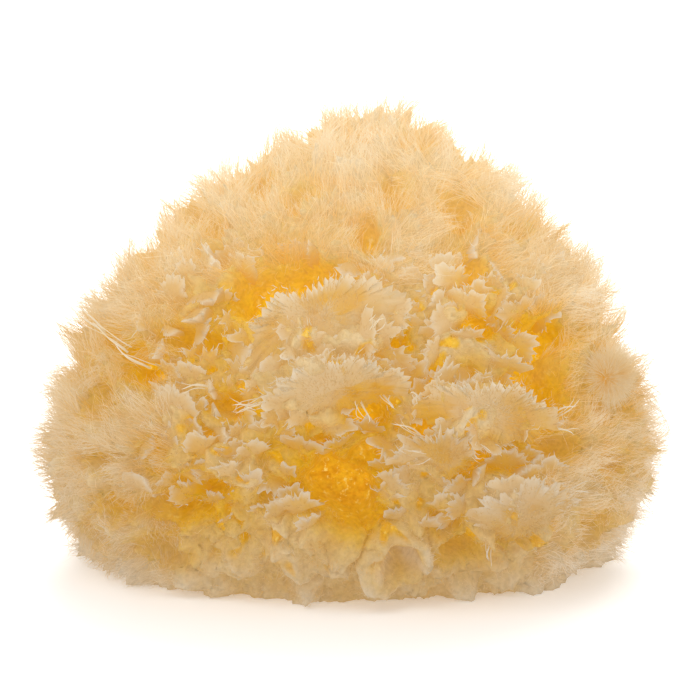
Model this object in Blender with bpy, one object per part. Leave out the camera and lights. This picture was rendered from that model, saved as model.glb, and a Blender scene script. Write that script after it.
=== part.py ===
"""A sea sponge: a soft wool sponge for the bath, washed and dried, standing on the flat cut at its base.

It grew as one piece, so it is one solid. A rounded three-cornered dome carries ragged tufts all over, with
canals between them. The larger flaps and canals of the front have their own places, and the rest follow a
seeded scatter. Metres, +Z up, the origin in the middle of the flat cut.
"""

import math

import bmesh
import bpy
import numpy as np
from mathutils import Matrix, Vector, kdtree, noise

MM = 0.001

# The dome that the tips of the tufts reach: its sizes, and the powers that round its shoulders and foot
HALF_WIDTH = 77.5 * MM
HEIGHT = 113.0 * MM
WIDEST_AT = 30.0 * MM
BELOW_WIDEST = 66.0 * MM
DEPTH_SHARE = 0.735
ROUNDNESS = 2.2
WIDE_SHOULDER = (1.6, 0.65)
DEEP_SHOULDER = (1.9, 0.62)
FOOT = 1.8

# The crown sits right of the middle and behind it, and the dome swells and sinks in broad lumps
CROWN_RIGHT = 6.5 * MM
CROWN_BACK = 7.0 * MM
CROWN_POWERS = (2.0, 1.5)
LUMP = 1.6 * MM
LUMP_SPAN = 34.0 * MM
LUMP_OFFSET = 1.9

# The tufts, pointed and longer one way than the other, and the waviness of every edge
TUFT_SPACING = 8.2 * MM
TUFT_LENGTH = 7.5 * MM
TUFT_RADIUS = 11.0 * MM
TUFT_CORE = 0.62
TUFT_POINT = 1.2
TUFT_STRETCH = (0.6, 1.5)
SHORTEST_TUFT = 0.3
LEAN = 0.35
WAVE = 1.8 * MM
WAVE_SPAN = 7.0 * MM
WAVE_OFFSETS = (11.0, 23.0, 37.0)

# The front is looked at from a little above, and its features are placed in that view
VIEW_TILT = math.radians(12.0)

# Each flap: across, up, half width, half height, how far it stands out, all in mm
FLAPS = (
    (-7.0, 56.5, 18.5, 6.0, 6.0),
    (-3.5, 41.0, 15.5, 6.0, 7.0),
    (32.0, 37.0, 16.0, 6.0, 8.0),
    (39.5, 12.5, 11.0, 8.7, 7.5),
    (21.5, 26.0, 8.0, 5.0, 5.5),
    (30.0, 49.5, 9.0, 5.0, 4.5),
    (28.5, 63.0, 9.0, 4.5, 4.5),
    (40.0, 74.0, 8.0, 6.0, 4.0),
    (-44.0, 30.0, 8.5, 6.0, 4.5),
    (-26.5, 23.0, 6.0, 4.5, 4.5),
    (-7.5, 3.0, 10.0, 8.0, 5.0),
    (61.0, 44.5, 8.5, 9.5, 5.5),
    (59.0, 7.0, 9.0, 7.5, 5.0),
    (-57.0, 38.0, 11.0, 10.0, 4.0),
    (-50.0, 1.0, 14.0, 5.5, 4.0),
    (8.0, 88.0, 18.0, 13.0, 3.5),
    (-43.0, 66.0, 9.0, 8.0, 3.5),
    (11.0, -1.0, 7.5, 7.0, 5.5),
)

# Each canal mouth: across, up, half width, half height, depth, all in mm
CANALS = (
    (-19.5, 64.5, 5.6, 4.4, 13.0),
    (-9.0, 67.0, 6.8, 4.2, 14.0),
    (46.5, 42.0, 5.4, 7.6, 14.0),
    (44.0, 53.5, 2.6, 3.0, 9.0),
    (51.5, 55.0, 3.2, 3.4, 9.0),
    (31.5, 57.0, 2.8, 2.2, 8.0),
    (19.0, 44.0, 3.0, 2.2, 9.0),
    (27.5, 43.5, 2.6, 2.0, 8.0),
    (19.0, 32.5, 3.2, 2.3, 9.0),
    (39.5, 46.5, 2.4, 2.4, 7.0),
    (52.0, 26.5, 5.2, 3.0, 12.0),
    (31.0, 24.0, 4.4, 2.6, 11.0),
    (41.5, 22.5, 3.4, 2.2, 10.0),
    (12.5, 53.0, 2.2, 2.0, 7.0),
    (7.0, 48.0, 2.2, 2.0, 7.0),
    (4.0, 35.5, 3.0, 3.4, 10.0),
    (4.5, 24.0, 3.4, 3.0, 9.0),
    (1.5, 14.0, 3.6, 5.6, 12.0),
    (-4.5, 17.0, 5.0, 5.4, 14.0),
    (-16.0, 14.5, 4.6, 2.9, 12.0),
    (-6.5, 29.0, 3.0, 2.4, 8.0),
    (24.0, 6.5, 2.4, 2.8, 9.0),
    (48.5, 12.0, 2.2, 2.8, 8.0),
    (27.5, 0.0, 5.0, 2.4, 7.0),
    (-39.0, 54.5, 6.2, 3.0, 8.0),
    (-48.0, 25.0, 2.6, 3.2, 8.0),
    (-35.0, 28.5, 2.6, 2.2, 8.0),
    (-35.0, 17.0, 4.6, 2.5, 9.0),
    (-41.0, 10.5, 6.6, 2.4, 8.0),
    (-57.0, 10.0, 3.6, 2.0, 6.0),
    (28.5, 69.5, 2.2, 3.6, 9.0),
    (5.5, 80.0, 2.2, 2.6, 7.0),
    (-33.0, 74.0, 3.4, 2.2, 6.0),
    (-62.0, 56.0, 3.4, 2.2, 8.0),
    (-56.5, 52.0, 3.4, 2.4, 9.0),
    (-51.0, 47.5, 3.4, 2.6, 9.0),
    (12.5, -1.0, 3.6, 2.8, 11.0),
)

# How a flap's rim and a canal's wall run, in shares of the feature's half size
FEATURE_DEPTH = 1.4
FLAP_RIM = (1.25, 0.4)
FLAP_OVERHANG = 0.16
FLAP_TUFTED = 0.25
CANAL_WALL = (1.3, 0.6)
CANAL_SINKS = 0.7

# The canals of the sides, back and crown
SCATTERED_CANALS = 72
CANALS_APART = 12.0 * MM
CLEAR_OF_PLACED = 11.0 * MM
LOWEST_CANAL = 6.0 * MM
CANAL_SIZES = (1.8 * MM, 4.6 * MM)
CANAL_DEPTHS = (7.0 * MM, 14.0 * MM)

# How finely the dome is divided, and the faces that the finished solid keeps
DIVISIONS = 7
FACES_KEPT = 9200
SEED = 52

SPONGE_COLOUR = (0.70, 0.48, 0.20, 1.0)
SPONGE_ROUGHNESS = 0.9


def clear_scene():
    """Removes every object that the file opened with."""
    for obj in list(bpy.data.objects):
        bpy.data.objects.remove(obj, do_unlink=True)


def outside(points):
    """Over 1 where a point lies outside the dome."""
    x, y, z = points.T
    above = np.clip((z - WIDEST_AT) / (HEIGHT - WIDEST_AT), 0, 1)
    below = np.clip((WIDEST_AT - z) / BELOW_WIDEST, 0, 1)
    foot = (1 - below**FOOT) ** (1 / FOOT)
    wide, thick = (
        HALF_WIDTH * np.where(z > WIDEST_AT, (1 - above**bend) ** fall, foot)
        for bend, fall in (WIDE_SHOULDER, DEEP_SHOULDER)
    )
    across = np.abs(x - CROWN_RIGHT * above ** CROWN_POWERS[0]) / np.maximum(wide, 1e-6)
    deep = np.abs(y - CROWN_BACK * above ** CROWN_POWERS[1]) / np.maximum(thick * DEPTH_SHARE, 1e-6)
    return across**ROUNDNESS + deep**ROUNDNESS


def meet_dome(starts, directions, far=0.2, halvings=40):
    """Where rays that start inside the dome leave it."""
    near = np.zeros(len(directions))
    reach = np.full(len(directions), far)
    for _ in range(halvings):
        middle = (near + reach) / 2
        out = outside(starts + directions * middle[:, None]) > 1
        reach = np.where(out, middle, reach)
        near = np.where(out, near, middle)
    return starts + directions * near[:, None]


def on_front(across, up):
    """The point of the dome's front at a place in the tilted view, both in mm."""
    eye = np.array([0.0, -math.cos(VIEW_TILT), math.sin(VIEW_TILT)])
    upward = np.array([0.0, math.sin(VIEW_TILT), math.cos(VIEW_TILT)])
    inside = np.array([across * MM, 0.0, 0.0]) + upward * up * MM
    return meet_dome(inside[None, :], eye[None, :])[0]


def smooth_step(t):
    """0 to 1 with soft ends, for an array."""
    t = np.clip(t, 0, 1)
    return t * t * (3 - 2 * t)


def noise_at(points, span, offset=0.0):
    """Smooth noise from -1 to 1 at each point, with lumps about span across."""
    shift = Vector((offset, offset * 0.7, offset * 1.3))
    return np.array([noise.noise(Vector(p) / span + shift) for p in points])


def unit(vectors):
    """The vectors with length 1."""
    return vectors / np.maximum(np.linalg.norm(vectors, axis=1, keepdims=True), 1e-12)


def dome_normals(points, step=1e-4):
    """The outward direction at points of the dome."""
    slopes = [outside(points + step * axis) - outside(points - step * axis) for axis in np.eye(3)]
    return unit(np.array(slopes).T)


def scatter(points, spacing, rng):
    """Indices of points that lie at least spacing apart, in seeded order."""
    cell = spacing / math.sqrt(3)
    taken = {}
    chosen = []
    for i in rng.permutation(len(points)):
        key = tuple(np.floor(points[i] / cell).astype(int))
        near = (
            taken.get((key[0] + a, key[1] + b, key[2] + c))
            for a in range(-2, 3)
            for b in range(-2, 3)
            for c in range(-2, 3)
        )
        if all(j is None or np.linalg.norm(points[i] - points[j]) >= spacing for j in near):
            taken[key] = i
            chosen.append(i)
    return np.array(chosen)


def placed(rows):
    """Centres on the dome's front, and sizes in metres, of the rows of FLAPS or CANALS."""
    centres = np.array([on_front(row[0], row[1]) for row in rows])
    return centres, np.array([row[2:] for row in rows]) * MM


def ellipse_distance(points, centre, wide, high):
    """Distance from a feature's centre, 1 at its edge. A feature is as deep as it is large."""
    away = points - centre
    deep = max(wide, high) * FEATURE_DEPTH
    return np.sqrt((away[:, 0] / wide) ** 2 + (away[:, 1] / deep) ** 2 + (away[:, 2] / high) ** 2)


def tuft_relief(points, normals, rng):
    """How far each point stands out in the tufts, and how far it leans with them."""
    centres = scatter(points, TUFT_SPACING, rng)
    lengths = TUFT_LENGTH * rng.uniform(SHORTEST_TUFT, 1.0, len(centres))
    leans = unit(rng.normal(size=(len(centres), 3)))
    stretch = rng.uniform(*TUFT_STRETCH, len(centres))
    turns = unit(np.cross(normals[centres], rng.normal(size=(len(centres), 3))))
    tree = kdtree.KDTree(len(centres))
    for i, index in enumerate(centres):
        tree.insert(points[index], i)
    tree.balance()
    relief = np.zeros(len(points))
    lean = np.zeros((len(points), 3))
    for v, point in enumerate(points):
        for _, i, _ in tree.find_range(point, TUFT_RADIUS):
            away = point - points[centres[i]]
            along = away @ turns[i]
            across = math.sqrt(max(away @ away - along * along, 0.0))
            reach = math.hypot(along / stretch[i], across) / (TUFT_RADIUS * TUFT_CORE)
            height = lengths[i] * max(0.0, 1 - reach**TUFT_POINT)
            if height > relief[v]:
                relief[v] = height
                lean[v] = leans[i] * LEAN * height
    return relief, lean


def all_canals(dome, rng):
    """Centres and sizes of the front's own canals and of those scattered over the rest."""
    centres, sizes = placed(CANALS)
    spots = scatter(dome, CANALS_APART, rng)
    spots = [i for i in spots if np.min(np.linalg.norm(centres - dome[i], axis=1)) > CLEAR_OF_PLACED]
    spots = [i for i in spots if dome[i][2] > LOWEST_CANAL][:SCATTERED_CANALS]
    mouths = rng.uniform(*CANAL_SIZES, (len(spots), 2))
    depths = rng.uniform(*CANAL_DEPTHS, (len(spots), 1))
    return np.concatenate([centres, dome[spots]]), np.concatenate([sizes, np.hstack([mouths, depths])])


def sponge_points(directions, rng):
    """The sponge's surface: one point for each direction from inside the dome."""
    start = np.array([0.0, 0.0, WIDEST_AT])
    dome = meet_dome(np.broadcast_to(start, directions.shape), directions)
    normals = dome_normals(dome)
    wave = np.array([noise_at(dome, WAVE_SPAN, offset) for offset in WAVE_OFFSETS]).T
    waved = dome + wave * WAVE
    relief, lean = tuft_relief(waved, normals, rng)
    height = LUMP * noise_at(dome, LUMP_SPAN, LUMP_OFFSET) - TUFT_LENGTH + relief
    side = lean - normals * np.sum(lean * normals, axis=1, keepdims=True)

    for centre, (wide, high, out) in zip(*placed(FLAPS)):
        edge = ellipse_distance(waved, centre, wide, high)
        swell = smooth_step((FLAP_RIM[0] - edge) / FLAP_RIM[1])
        height = height + out * swell * (1 - FLAP_TUFTED * (1 - relief / TUFT_LENGTH))
        side = side + (dome - centre) * (FLAP_OVERHANG * swell * np.clip(edge, 0, 1))[:, None]

    for centre, (wide, high, depth) in zip(*all_canals(dome, rng)):
        edge = ellipse_distance(waved, centre, wide, high)
        fall = smooth_step((CANAL_WALL[0] - edge) / CANAL_WALL[1])
        floor = -TUFT_LENGTH - depth * CANAL_SINKS
        height = height + (np.minimum(height, floor) - height) * fall
        side = side * (1 - fall)[:, None]
    return dome + normals * height[:, None] + side


def dense_sponge(rng):
    """A closed mesh of the whole sponge, before its base is cut."""
    mesh = bmesh.new()
    bmesh.ops.create_icosphere(mesh, subdivisions=DIVISIONS, radius=1.0)
    directions = unit(np.array([v.co for v in mesh.verts]))
    for vert, point in zip(mesh.verts, sponge_points(directions, rng)):
        vert.co = point
    data = bpy.data.meshes.new("sponge")
    mesh.to_mesh(data)
    mesh.free()
    return data


def thinned(data):
    """The mesh with only the faces that carry its shape, through Blender's own Decimate."""
    helper = bpy.data.objects.new("dense", data)
    bpy.context.scene.collection.objects.link(helper)
    fewer = helper.modifiers.new("fewer faces", "DECIMATE")
    fewer.ratio = FACES_KEPT / len(data.polygons)
    graph = bpy.context.evaluated_depsgraph_get()
    kept = bpy.data.meshes.new_from_object(helper.evaluated_get(graph))
    bpy.data.objects.remove(helper)
    return kept


def cut_base(data):
    """Cuts the sponge off flat at z 0 and closes the cut with one face."""
    mesh = bmesh.new()
    mesh.from_mesh(data)
    everything = mesh.verts[:] + mesh.edges[:] + mesh.faces[:]
    cut = bmesh.ops.bisect_plane(
        mesh, geom=everything, dist=1e-6, plane_co=(0, 0, 0), plane_no=(0, 0, 1), clear_inner=True
    )
    rim = [e for e in cut["geom_cut"] if isinstance(e, bmesh.types.BMEdge)]
    bmesh.ops.contextual_create(mesh, geom=rim)
    bmesh.ops.triangulate(mesh, faces=mesh.faces[:])
    bmesh.ops.recalc_face_normals(mesh, faces=mesh.faces[:])
    mesh.to_mesh(data)
    mesh.free()


def centre_on_base(data):
    """Moves the mesh so that the middle of its box stands over the origin."""
    points = np.array([v.co for v in data.vertices])
    middle = (points.min(axis=0) + points.max(axis=0)) / 2
    data.transform(Matrix.Translation((-middle[0], -middle[1], 0.0)))


def sponge_material():
    """Dry sponge fibre: warm cream, quite rough."""
    material = bpy.data.materials.new("sponge_fibre")
    material.use_nodes = True
    shader = material.node_tree.nodes["Principled BSDF"]
    shader.inputs["Base Color"].default_value = SPONGE_COLOUR
    shader.inputs["Roughness"].default_value = SPONGE_ROUGHNESS
    shader.inputs["Metallic"].default_value = 0.0
    return material


def main():
    """Builds the sponge as one named object."""
    clear_scene()
    data = thinned(dense_sponge(np.random.default_rng(SEED)))
    cut_base(data)
    centre_on_base(data)
    data.name = "sponge"
    data.materials.clear()
    data.materials.append(sponge_material())
    sponge = bpy.data.objects.new("sponge", data)
    bpy.context.scene.collection.objects.link(sponge)


if __name__ == "__main__":
    main()
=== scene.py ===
"""The looks of a dry wool sponge for the bath, grown around its solid.

The sponge keeps the dome, the tufts, the flaps and the canals of its solid. On them come finer tufts and
pores, soft torn lobes that overlap on the front, wool in locks on the crown, the sides and the back, short
down on the front, a star-shaped whorl at the right and a few thick threads. Metres, +Z up.
"""

import logging
import math
from dataclasses import dataclass, field
from enum import Enum

import bmesh
import bpy
import numpy as np
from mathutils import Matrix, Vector, kdtree, noise


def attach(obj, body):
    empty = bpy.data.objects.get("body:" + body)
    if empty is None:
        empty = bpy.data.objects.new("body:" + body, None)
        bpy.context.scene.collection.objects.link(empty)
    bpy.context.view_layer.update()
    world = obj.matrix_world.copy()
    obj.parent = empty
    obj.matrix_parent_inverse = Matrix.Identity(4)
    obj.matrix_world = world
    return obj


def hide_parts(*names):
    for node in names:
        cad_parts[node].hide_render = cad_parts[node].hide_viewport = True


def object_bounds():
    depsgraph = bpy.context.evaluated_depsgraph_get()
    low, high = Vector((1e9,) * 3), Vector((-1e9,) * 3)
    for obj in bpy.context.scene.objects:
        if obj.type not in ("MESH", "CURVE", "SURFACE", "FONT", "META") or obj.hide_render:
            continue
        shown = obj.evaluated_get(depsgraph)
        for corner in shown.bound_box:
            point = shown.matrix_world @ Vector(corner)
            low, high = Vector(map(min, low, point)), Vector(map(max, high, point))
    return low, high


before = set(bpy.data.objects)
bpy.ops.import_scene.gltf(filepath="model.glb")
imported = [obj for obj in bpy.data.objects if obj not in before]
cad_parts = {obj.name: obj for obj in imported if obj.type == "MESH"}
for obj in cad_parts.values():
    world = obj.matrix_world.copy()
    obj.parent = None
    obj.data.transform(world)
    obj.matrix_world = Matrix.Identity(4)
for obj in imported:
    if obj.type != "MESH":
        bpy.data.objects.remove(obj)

LOG = logging.getLogger("sponge")
CAD_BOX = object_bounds()
MM = 0.001
SEED = 52
SPECULAR = 0.2
UP = np.array([0.0, 0.0, 1.0])
ROOM_BESIDE = 0.015
ROOM_ABOVE_FLOOR = 0.3 * MM
ROOM_SOFT = 2.5 * MM
VARIED = (0.7, 1.3)
Colour = tuple[float, float, float, float]


class Region(Enum):
    """The parts of the sponge that wear different coats."""

    CROWN = "crown"
    LEFT = "left"
    RIGHT = "right"
    BACK = "back"
    FRONT = "front"
    ALL = "all"


def unit(vectors: np.ndarray) -> np.ndarray:
    """The vectors with length 1."""
    return vectors / np.maximum(np.linalg.norm(vectors, axis=-1, keepdims=True), 1e-12)


def smooth_step(t: np.ndarray) -> np.ndarray:
    """0 to 1 with soft ends."""
    t = np.clip(t, 0, 1)
    return t * t * (3 - 2 * t)


def bell(t: np.ndarray) -> np.ndarray:
    """1 at 0, with a soft fall to 0 on both sides."""
    return np.exp(-t * t)


def noise_at(points: np.ndarray, span: float, offset: float = 0.0) -> np.ndarray:
    """Smooth noise at points.

    Args:
        points: places in metres, one a row.
        span: how wide a lump of the noise is.
        offset: which noise is read.

    Returns:
        A value from -1 to 1 for each point.
    """
    shift = Vector((offset, offset * 0.7, offset * 1.3))
    return np.array([noise.noise(Vector(p) / span + shift) for p in points])


def tree_of(points: np.ndarray) -> kdtree.KDTree:
    """Sorts points so that those near a place are found fast.

    Args:
        points: the places, one a row.

    Returns:
        Their tree.
    """
    tree = kdtree.KDTree(len(points))
    for i, point in enumerate(points):
        tree.insert(point, i)
    tree.balance()
    return tree


def near(tree: kdtree.KDTree, place: np.ndarray, radius: float) -> np.ndarray:
    """Indices of the tree's points within a radius of a place."""
    return np.array([found[1] for found in tree.find_range(place, radius)], dtype=int)


def scatter(points: np.ndarray, spacing: float, rng: np.random.Generator) -> np.ndarray:
    """Chooses points that lie at least a spacing apart.

    Args:
        points: the places to choose from.
        spacing: the least distance between two chosen ones.
        rng: the seeded source of the order in which they are tried.

    Returns:
        The indices of the chosen points.
    """
    tree = tree_of(points)
    free = np.ones(len(points), dtype=bool)
    chosen = []
    for i in rng.permutation(len(points)):
        if free[i]:
            chosen.append(i)
            free[near(tree, points[i], spacing)] = False
    return np.array(chosen)


def room_to_grow() -> tuple[np.ndarray, np.ndarray]:
    """The box that the fibres stay in: the solid's own, a little wider, and above the floor.

    Returns:
        Its low and its high corner.
    """
    low, high = np.array(CAD_BOX[0]), np.array(CAD_BOX[1])
    proud = (high - low) * ROOM_BESIDE
    low, high = low - proud, high + proud
    low[2] = ROOM_ABOVE_FLOOR
    return low, high


def kept_in(points: np.ndarray) -> np.ndarray:
    """Holds points in the room to grow, softly at its sides and top and hard at the floor.

    Args:
        points: places on the sponge.

    Returns:
        The places, moved in where they stood out.
    """
    low, high = room_to_grow()
    over = np.maximum(points - (high - ROOM_SOFT), 0.0)
    points = np.minimum(points, high - ROOM_SOFT) + ROOM_SOFT * np.tanh(over / ROOM_SOFT)
    inside = low + ROOM_SOFT * (1 - UP)
    under = np.maximum(inside - points, 0.0)
    drawn = inside - ROOM_SOFT * np.tanh(under / ROOM_SOFT)
    drawn[:, 2] = low[2]
    return np.where(points < inside, drawn, points)


@dataclass(frozen=True)
class Dome:
    """The rounded three-cornered dome that the tips of the tufts reach, sized as in the solid."""

    half_width: float = 77.5 * MM
    height: float = 113.0 * MM
    widest_at: float = 30.0 * MM
    below_widest: float = 66.0 * MM
    depth_share: float = 0.735
    roundness: float = 2.2
    wide_shoulder: tuple[float, float] = (1.6, 0.65)
    deep_shoulder: tuple[float, float] = (1.9, 0.62)
    foot: float = 1.8
    crown_right: float = 6.5 * MM
    crown_back: float = 7.0 * MM
    crown_powers: tuple[float, float] = (2.0, 1.5)
    view_tilt: float = math.radians(12.0)
    farthest: float = 200.0 * MM
    halvings: int = 40

    def outside(self, points: np.ndarray) -> np.ndarray:
        """Tells which points lie outside the dome.

        Args:
            points: places in metres, one a row.

        Returns:
            For each point a value over 1 outside the dome, and under 1 inside it.
        """
        x, y, z = points.T
        above = np.clip((z - self.widest_at) / (self.height - self.widest_at), 0, 1)
        below = np.clip((self.widest_at - z) / self.below_widest, 0, 1)
        foot = (1 - below**self.foot) ** (1 / self.foot)
        wide, thick = (
            self.half_width * np.where(z > self.widest_at, (1 - above**bend) ** fall, foot)
            for bend, fall in (self.wide_shoulder, self.deep_shoulder)
        )
        across = np.abs(x - self.crown_right * above ** self.crown_powers[0]) / np.maximum(wide, 1e-6)
        thick = np.maximum(thick * self.depth_share, 1e-6)
        deep = np.abs(y - self.crown_back * above ** self.crown_powers[1]) / thick
        return across**self.roundness + deep**self.roundness

    def meet(self, starts: np.ndarray, directions: np.ndarray) -> np.ndarray:
        """Finds where rays leave the dome.

        Args:
            starts: where each ray starts, inside the dome.
            directions: the way that each runs, with length 1.

        Returns:
            The point of the dome on each ray.
        """
        low = np.zeros(len(directions))
        high = np.full(len(directions), self.farthest)
        for _ in range(self.halvings):
            middle = (low + high) / 2
            out = self.outside(starts + directions * middle[:, None]) > 1
            high = np.where(out, middle, high)
            low = np.where(out, low, middle)
        return starts + directions * low[:, None]

    def normals(self, points: np.ndarray, step: float = 0.1 * MM) -> np.ndarray:
        """The outward direction at points of the dome, from its slope over a small step."""
        slopes = [self.outside(points + step * a) - self.outside(points - step * a) for a in np.eye(3)]
        return unit(np.array(slopes).T)

    def on_front(self, across: float, up: float) -> np.ndarray:
        """Finds the point of the dome's front at a place in the tilted view.

        Args:
            across: how far right of the middle the place lies, in mm.
            up: how far up it lies, in mm.

        Returns:
            The point in metres.
        """
        eye = np.array([0.0, -math.cos(self.view_tilt), math.sin(self.view_tilt)])
        upward = np.array([0.0, math.sin(self.view_tilt), math.cos(self.view_tilt)])
        inside = np.array([across * MM, 0.0, 0.0]) + upward * up * MM
        return self.meet(inside[None, :], eye[None, :])[0]

    def in_view(self, points: np.ndarray) -> tuple[np.ndarray, np.ndarray]:
        """How far across and up points lie in the tilted view, in mm."""
        tilt = self.view_tilt
        return points[:, 0] / MM, (points[:, 2] * math.cos(tilt) + points[:, 1] * math.sin(tilt)) / MM


@dataclass(frozen=True)
class Tufts:
    """Pointed tufts of one size: where they stand and how they run."""

    centres: np.ndarray
    lengths: np.ndarray
    leans: np.ndarray
    stretch: np.ndarray
    turns: np.ndarray
    radius: float
    core: float
    point: float

    def relief(self, points: np.ndarray, tree: kdtree.KDTree) -> tuple[np.ndarray, np.ndarray]:
        """How far each point stands out in the tufts, and the way in which its tuft leans.

        Args:
            points: places on the dome.
            tree: the tree of the same places.

        Returns:
            The height of each point, and its lean as a vector of that length.
        """
        relief = np.zeros(len(points))
        lean = np.zeros((len(points), 3))
        for i, centre in enumerate(self.centres):
            index = near(tree, centre, self.radius)
            away = points[index] - centre
            along = away @ self.turns[i]
            across = np.sqrt(np.maximum(np.sum(away * away, axis=1) - along * along, 0.0))
            reach = np.hypot(along / self.stretch[i], across) / (self.radius * self.core)
            height = self.lengths[i] * np.maximum(0.0, 1 - reach**self.point)
            higher = height > relief[index]
            relief[index[higher]] = height[higher]
            lean[index[higher]] = self.leans[i] * height[higher, None]
        return relief, lean


@dataclass(frozen=True)
class Flap:
    """A flap of the front: its place, half sizes and stand-out in mm, and its lobe's turn in degrees."""

    across: float
    up: float
    wide: float
    high: float
    out: float
    turn: float = 0.0


@dataclass(frozen=True)
class Canal:
    """A canal of the front: its place, half width, half height and depth in mm, and its glow."""

    across: float
    up: float
    wide: float
    high: float
    deep: float
    glow: float = 0.6


@dataclass(frozen=True)
class Slope:
    """A slope with a painted soft glow: its place, half width and half height in mm, and its warmth."""

    across: float
    up: float
    wide: float
    high: float
    warmth: float


FLAPS = (
    Flap(-7.0, 56.5, 18.5, 6.0, 6.0, 23.0),
    Flap(-3.5, 41.0, 15.5, 6.0, 7.0, 16.0),
    Flap(32.0, 35.5, 16.0, 6.0, 8.0, -20.0),
    Flap(39.5, 12.5, 11.0, 8.7, 7.5),
    Flap(21.5, 26.0, 8.0, 5.0, 5.5),
    Flap(30.0, 49.5, 9.0, 5.0, 4.5),
    Flap(28.5, 63.0, 9.0, 4.5, 4.5),
    Flap(40.0, 74.0, 8.0, 6.0, 4.0),
    Flap(-44.0, 30.0, 8.5, 6.0, 4.5),
    Flap(-26.5, 23.0, 6.0, 4.5, 4.5),
    Flap(-7.5, 3.0, 10.0, 8.0, 5.0),
    Flap(61.0, 44.5, 8.5, 9.5, 5.5),
    Flap(59.0, 7.0, 9.0, 7.5, 5.0),
    Flap(-57.0, 38.0, 11.0, 10.0, 4.0),
    Flap(-50.0, 1.0, 14.0, 5.5, 4.0),
    Flap(8.0, 88.0, 18.0, 13.0, 3.5),
    Flap(-43.0, 66.0, 9.0, 8.0, 3.5),
    Flap(11.0, -1.0, 7.5, 7.0, 5.5),
)

SLOPES = (
    Slope(-13.0, 75.0, 19.0, 10.0, 0.55),
    Slope(-12.0, 27.0, 14.0, 7.0, 0.5),
    Slope(24.0, 8.5, 7.0, 5.0, 0.5),
    Slope(-34.0, 60.0, 15.0, 9.0, 0.42),
    Slope(29.0, 73.0, 13.0, 12.0, 0.35),
)

MOUTH_AT = (12.8, 0.2)
MOUTH_SIZE = (3.7 * MM, 2.5 * MM)
WHORL_AT = (62.0, 43.9)
WHORL_RADIUS = 9.0 * MM

CANALS = (
    Canal(-19.5, 64.5, 5.6, 4.4, 13.0, 1.0),
    Canal(-9.0, 67.0, 6.8, 4.2, 14.0, 0.95),
    Canal(46.5, 42.0, 5.4, 7.6, 14.0, 0.9),
    Canal(44.0, 53.5, 2.6, 3.0, 9.0, 0.9),
    Canal(51.5, 55.0, 3.2, 3.4, 9.0, 0.95),
    Canal(31.5, 57.0, 2.8, 2.2, 8.0, 0.9),
    Canal(19.0, 44.0, 3.0, 2.2, 9.0),
    Canal(27.5, 43.5, 2.6, 2.0, 8.0),
    Canal(19.0, 32.5, 3.2, 2.3, 9.0, 0.7),
    Canal(39.5, 46.5, 2.4, 2.4, 7.0),
    Canal(52.0, 26.5, 5.2, 3.0, 12.0, 0.45),
    Canal(31.0, 24.0, 4.4, 2.6, 11.0, 0.85),
    Canal(41.5, 22.5, 3.4, 2.2, 10.0, 0.6),
    Canal(12.5, 53.0, 2.2, 2.0, 7.0, 0.6),
    Canal(7.0, 48.0, 2.2, 2.0, 7.0, 0.5),
    Canal(4.0, 35.5, 3.0, 3.4, 10.0, 0.8),
    Canal(4.5, 24.0, 3.4, 3.0, 9.0, 0.6),
    Canal(1.5, 14.0, 3.6, 5.6, 12.0, 0.9),
    Canal(-4.5, 17.0, 5.0, 5.4, 14.0, 0.9),
    Canal(-16.0, 14.5, 4.6, 2.9, 12.0, 0.4),
    Canal(-6.5, 29.0, 3.0, 2.4, 8.0, 0.4),
    Canal(24.0, 6.5, 2.4, 2.8, 9.0, 0.3),
    Canal(48.5, 12.0, 2.2, 2.8, 8.0, 0.3),
    Canal(27.5, 0.0, 5.0, 2.4, 7.0, 0.2),
    Canal(-39.0, 54.5, 6.2, 3.0, 8.0, 0.45),
    Canal(-48.0, 25.0, 2.6, 3.2, 8.0),
    Canal(-35.0, 28.5, 2.6, 2.2, 8.0),
    Canal(-35.0, 17.0, 4.6, 2.5, 9.0),
    Canal(-41.0, 10.5, 6.6, 2.4, 8.0),
    Canal(-57.0, 10.0, 3.6, 2.0, 6.0),
    Canal(28.5, 69.5, 2.2, 3.6, 9.0, 0.9),
    Canal(5.5, 80.0, 2.2, 2.6, 7.0),
    Canal(-33.0, 74.0, 3.4, 2.2, 6.0),
    Canal(-62.0, 56.0, 3.4, 2.2, 8.0),
    Canal(-56.5, 52.0, 3.4, 2.4, 9.0, 0.7),
    Canal(-51.0, 47.5, 3.4, 2.6, 9.0, 0.8),
    Canal(12.5, -1.0, 3.6, 2.8, 11.0, 0.35),
)


@dataclass
class Surface:
    """The sponge's skin: where it is, which way it faces, and what grows there."""

    points: np.ndarray
    dome_points: np.ndarray
    normals: np.ndarray
    level: np.ndarray
    hollow: np.ndarray
    shine: np.ndarray
    warm: np.ndarray
    rim: np.ndarray
    rim_way: np.ndarray
    shift: np.ndarray
    apart: np.ndarray
    tree: kdtree.KDTree

    def level_at(self, places: np.ndarray) -> np.ndarray:
        """The level of the skin next to each place."""
        return self.level[[self.tree.find(place)[1] for place in places]]


@dataclass
class Draft:
    """The skin while it grows: its points on the dome, how far they stand out, and what marks them."""

    dome: np.ndarray
    normals: np.ndarray
    waved: np.ndarray
    tree: kdtree.KDTree
    relief: np.ndarray
    furred: np.ndarray
    height: np.ndarray
    side: np.ndarray
    mound: np.ndarray
    rim: np.ndarray
    rim_way: np.ndarray
    hollow: np.ndarray
    shine: np.ndarray
    warm: np.ndarray


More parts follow.
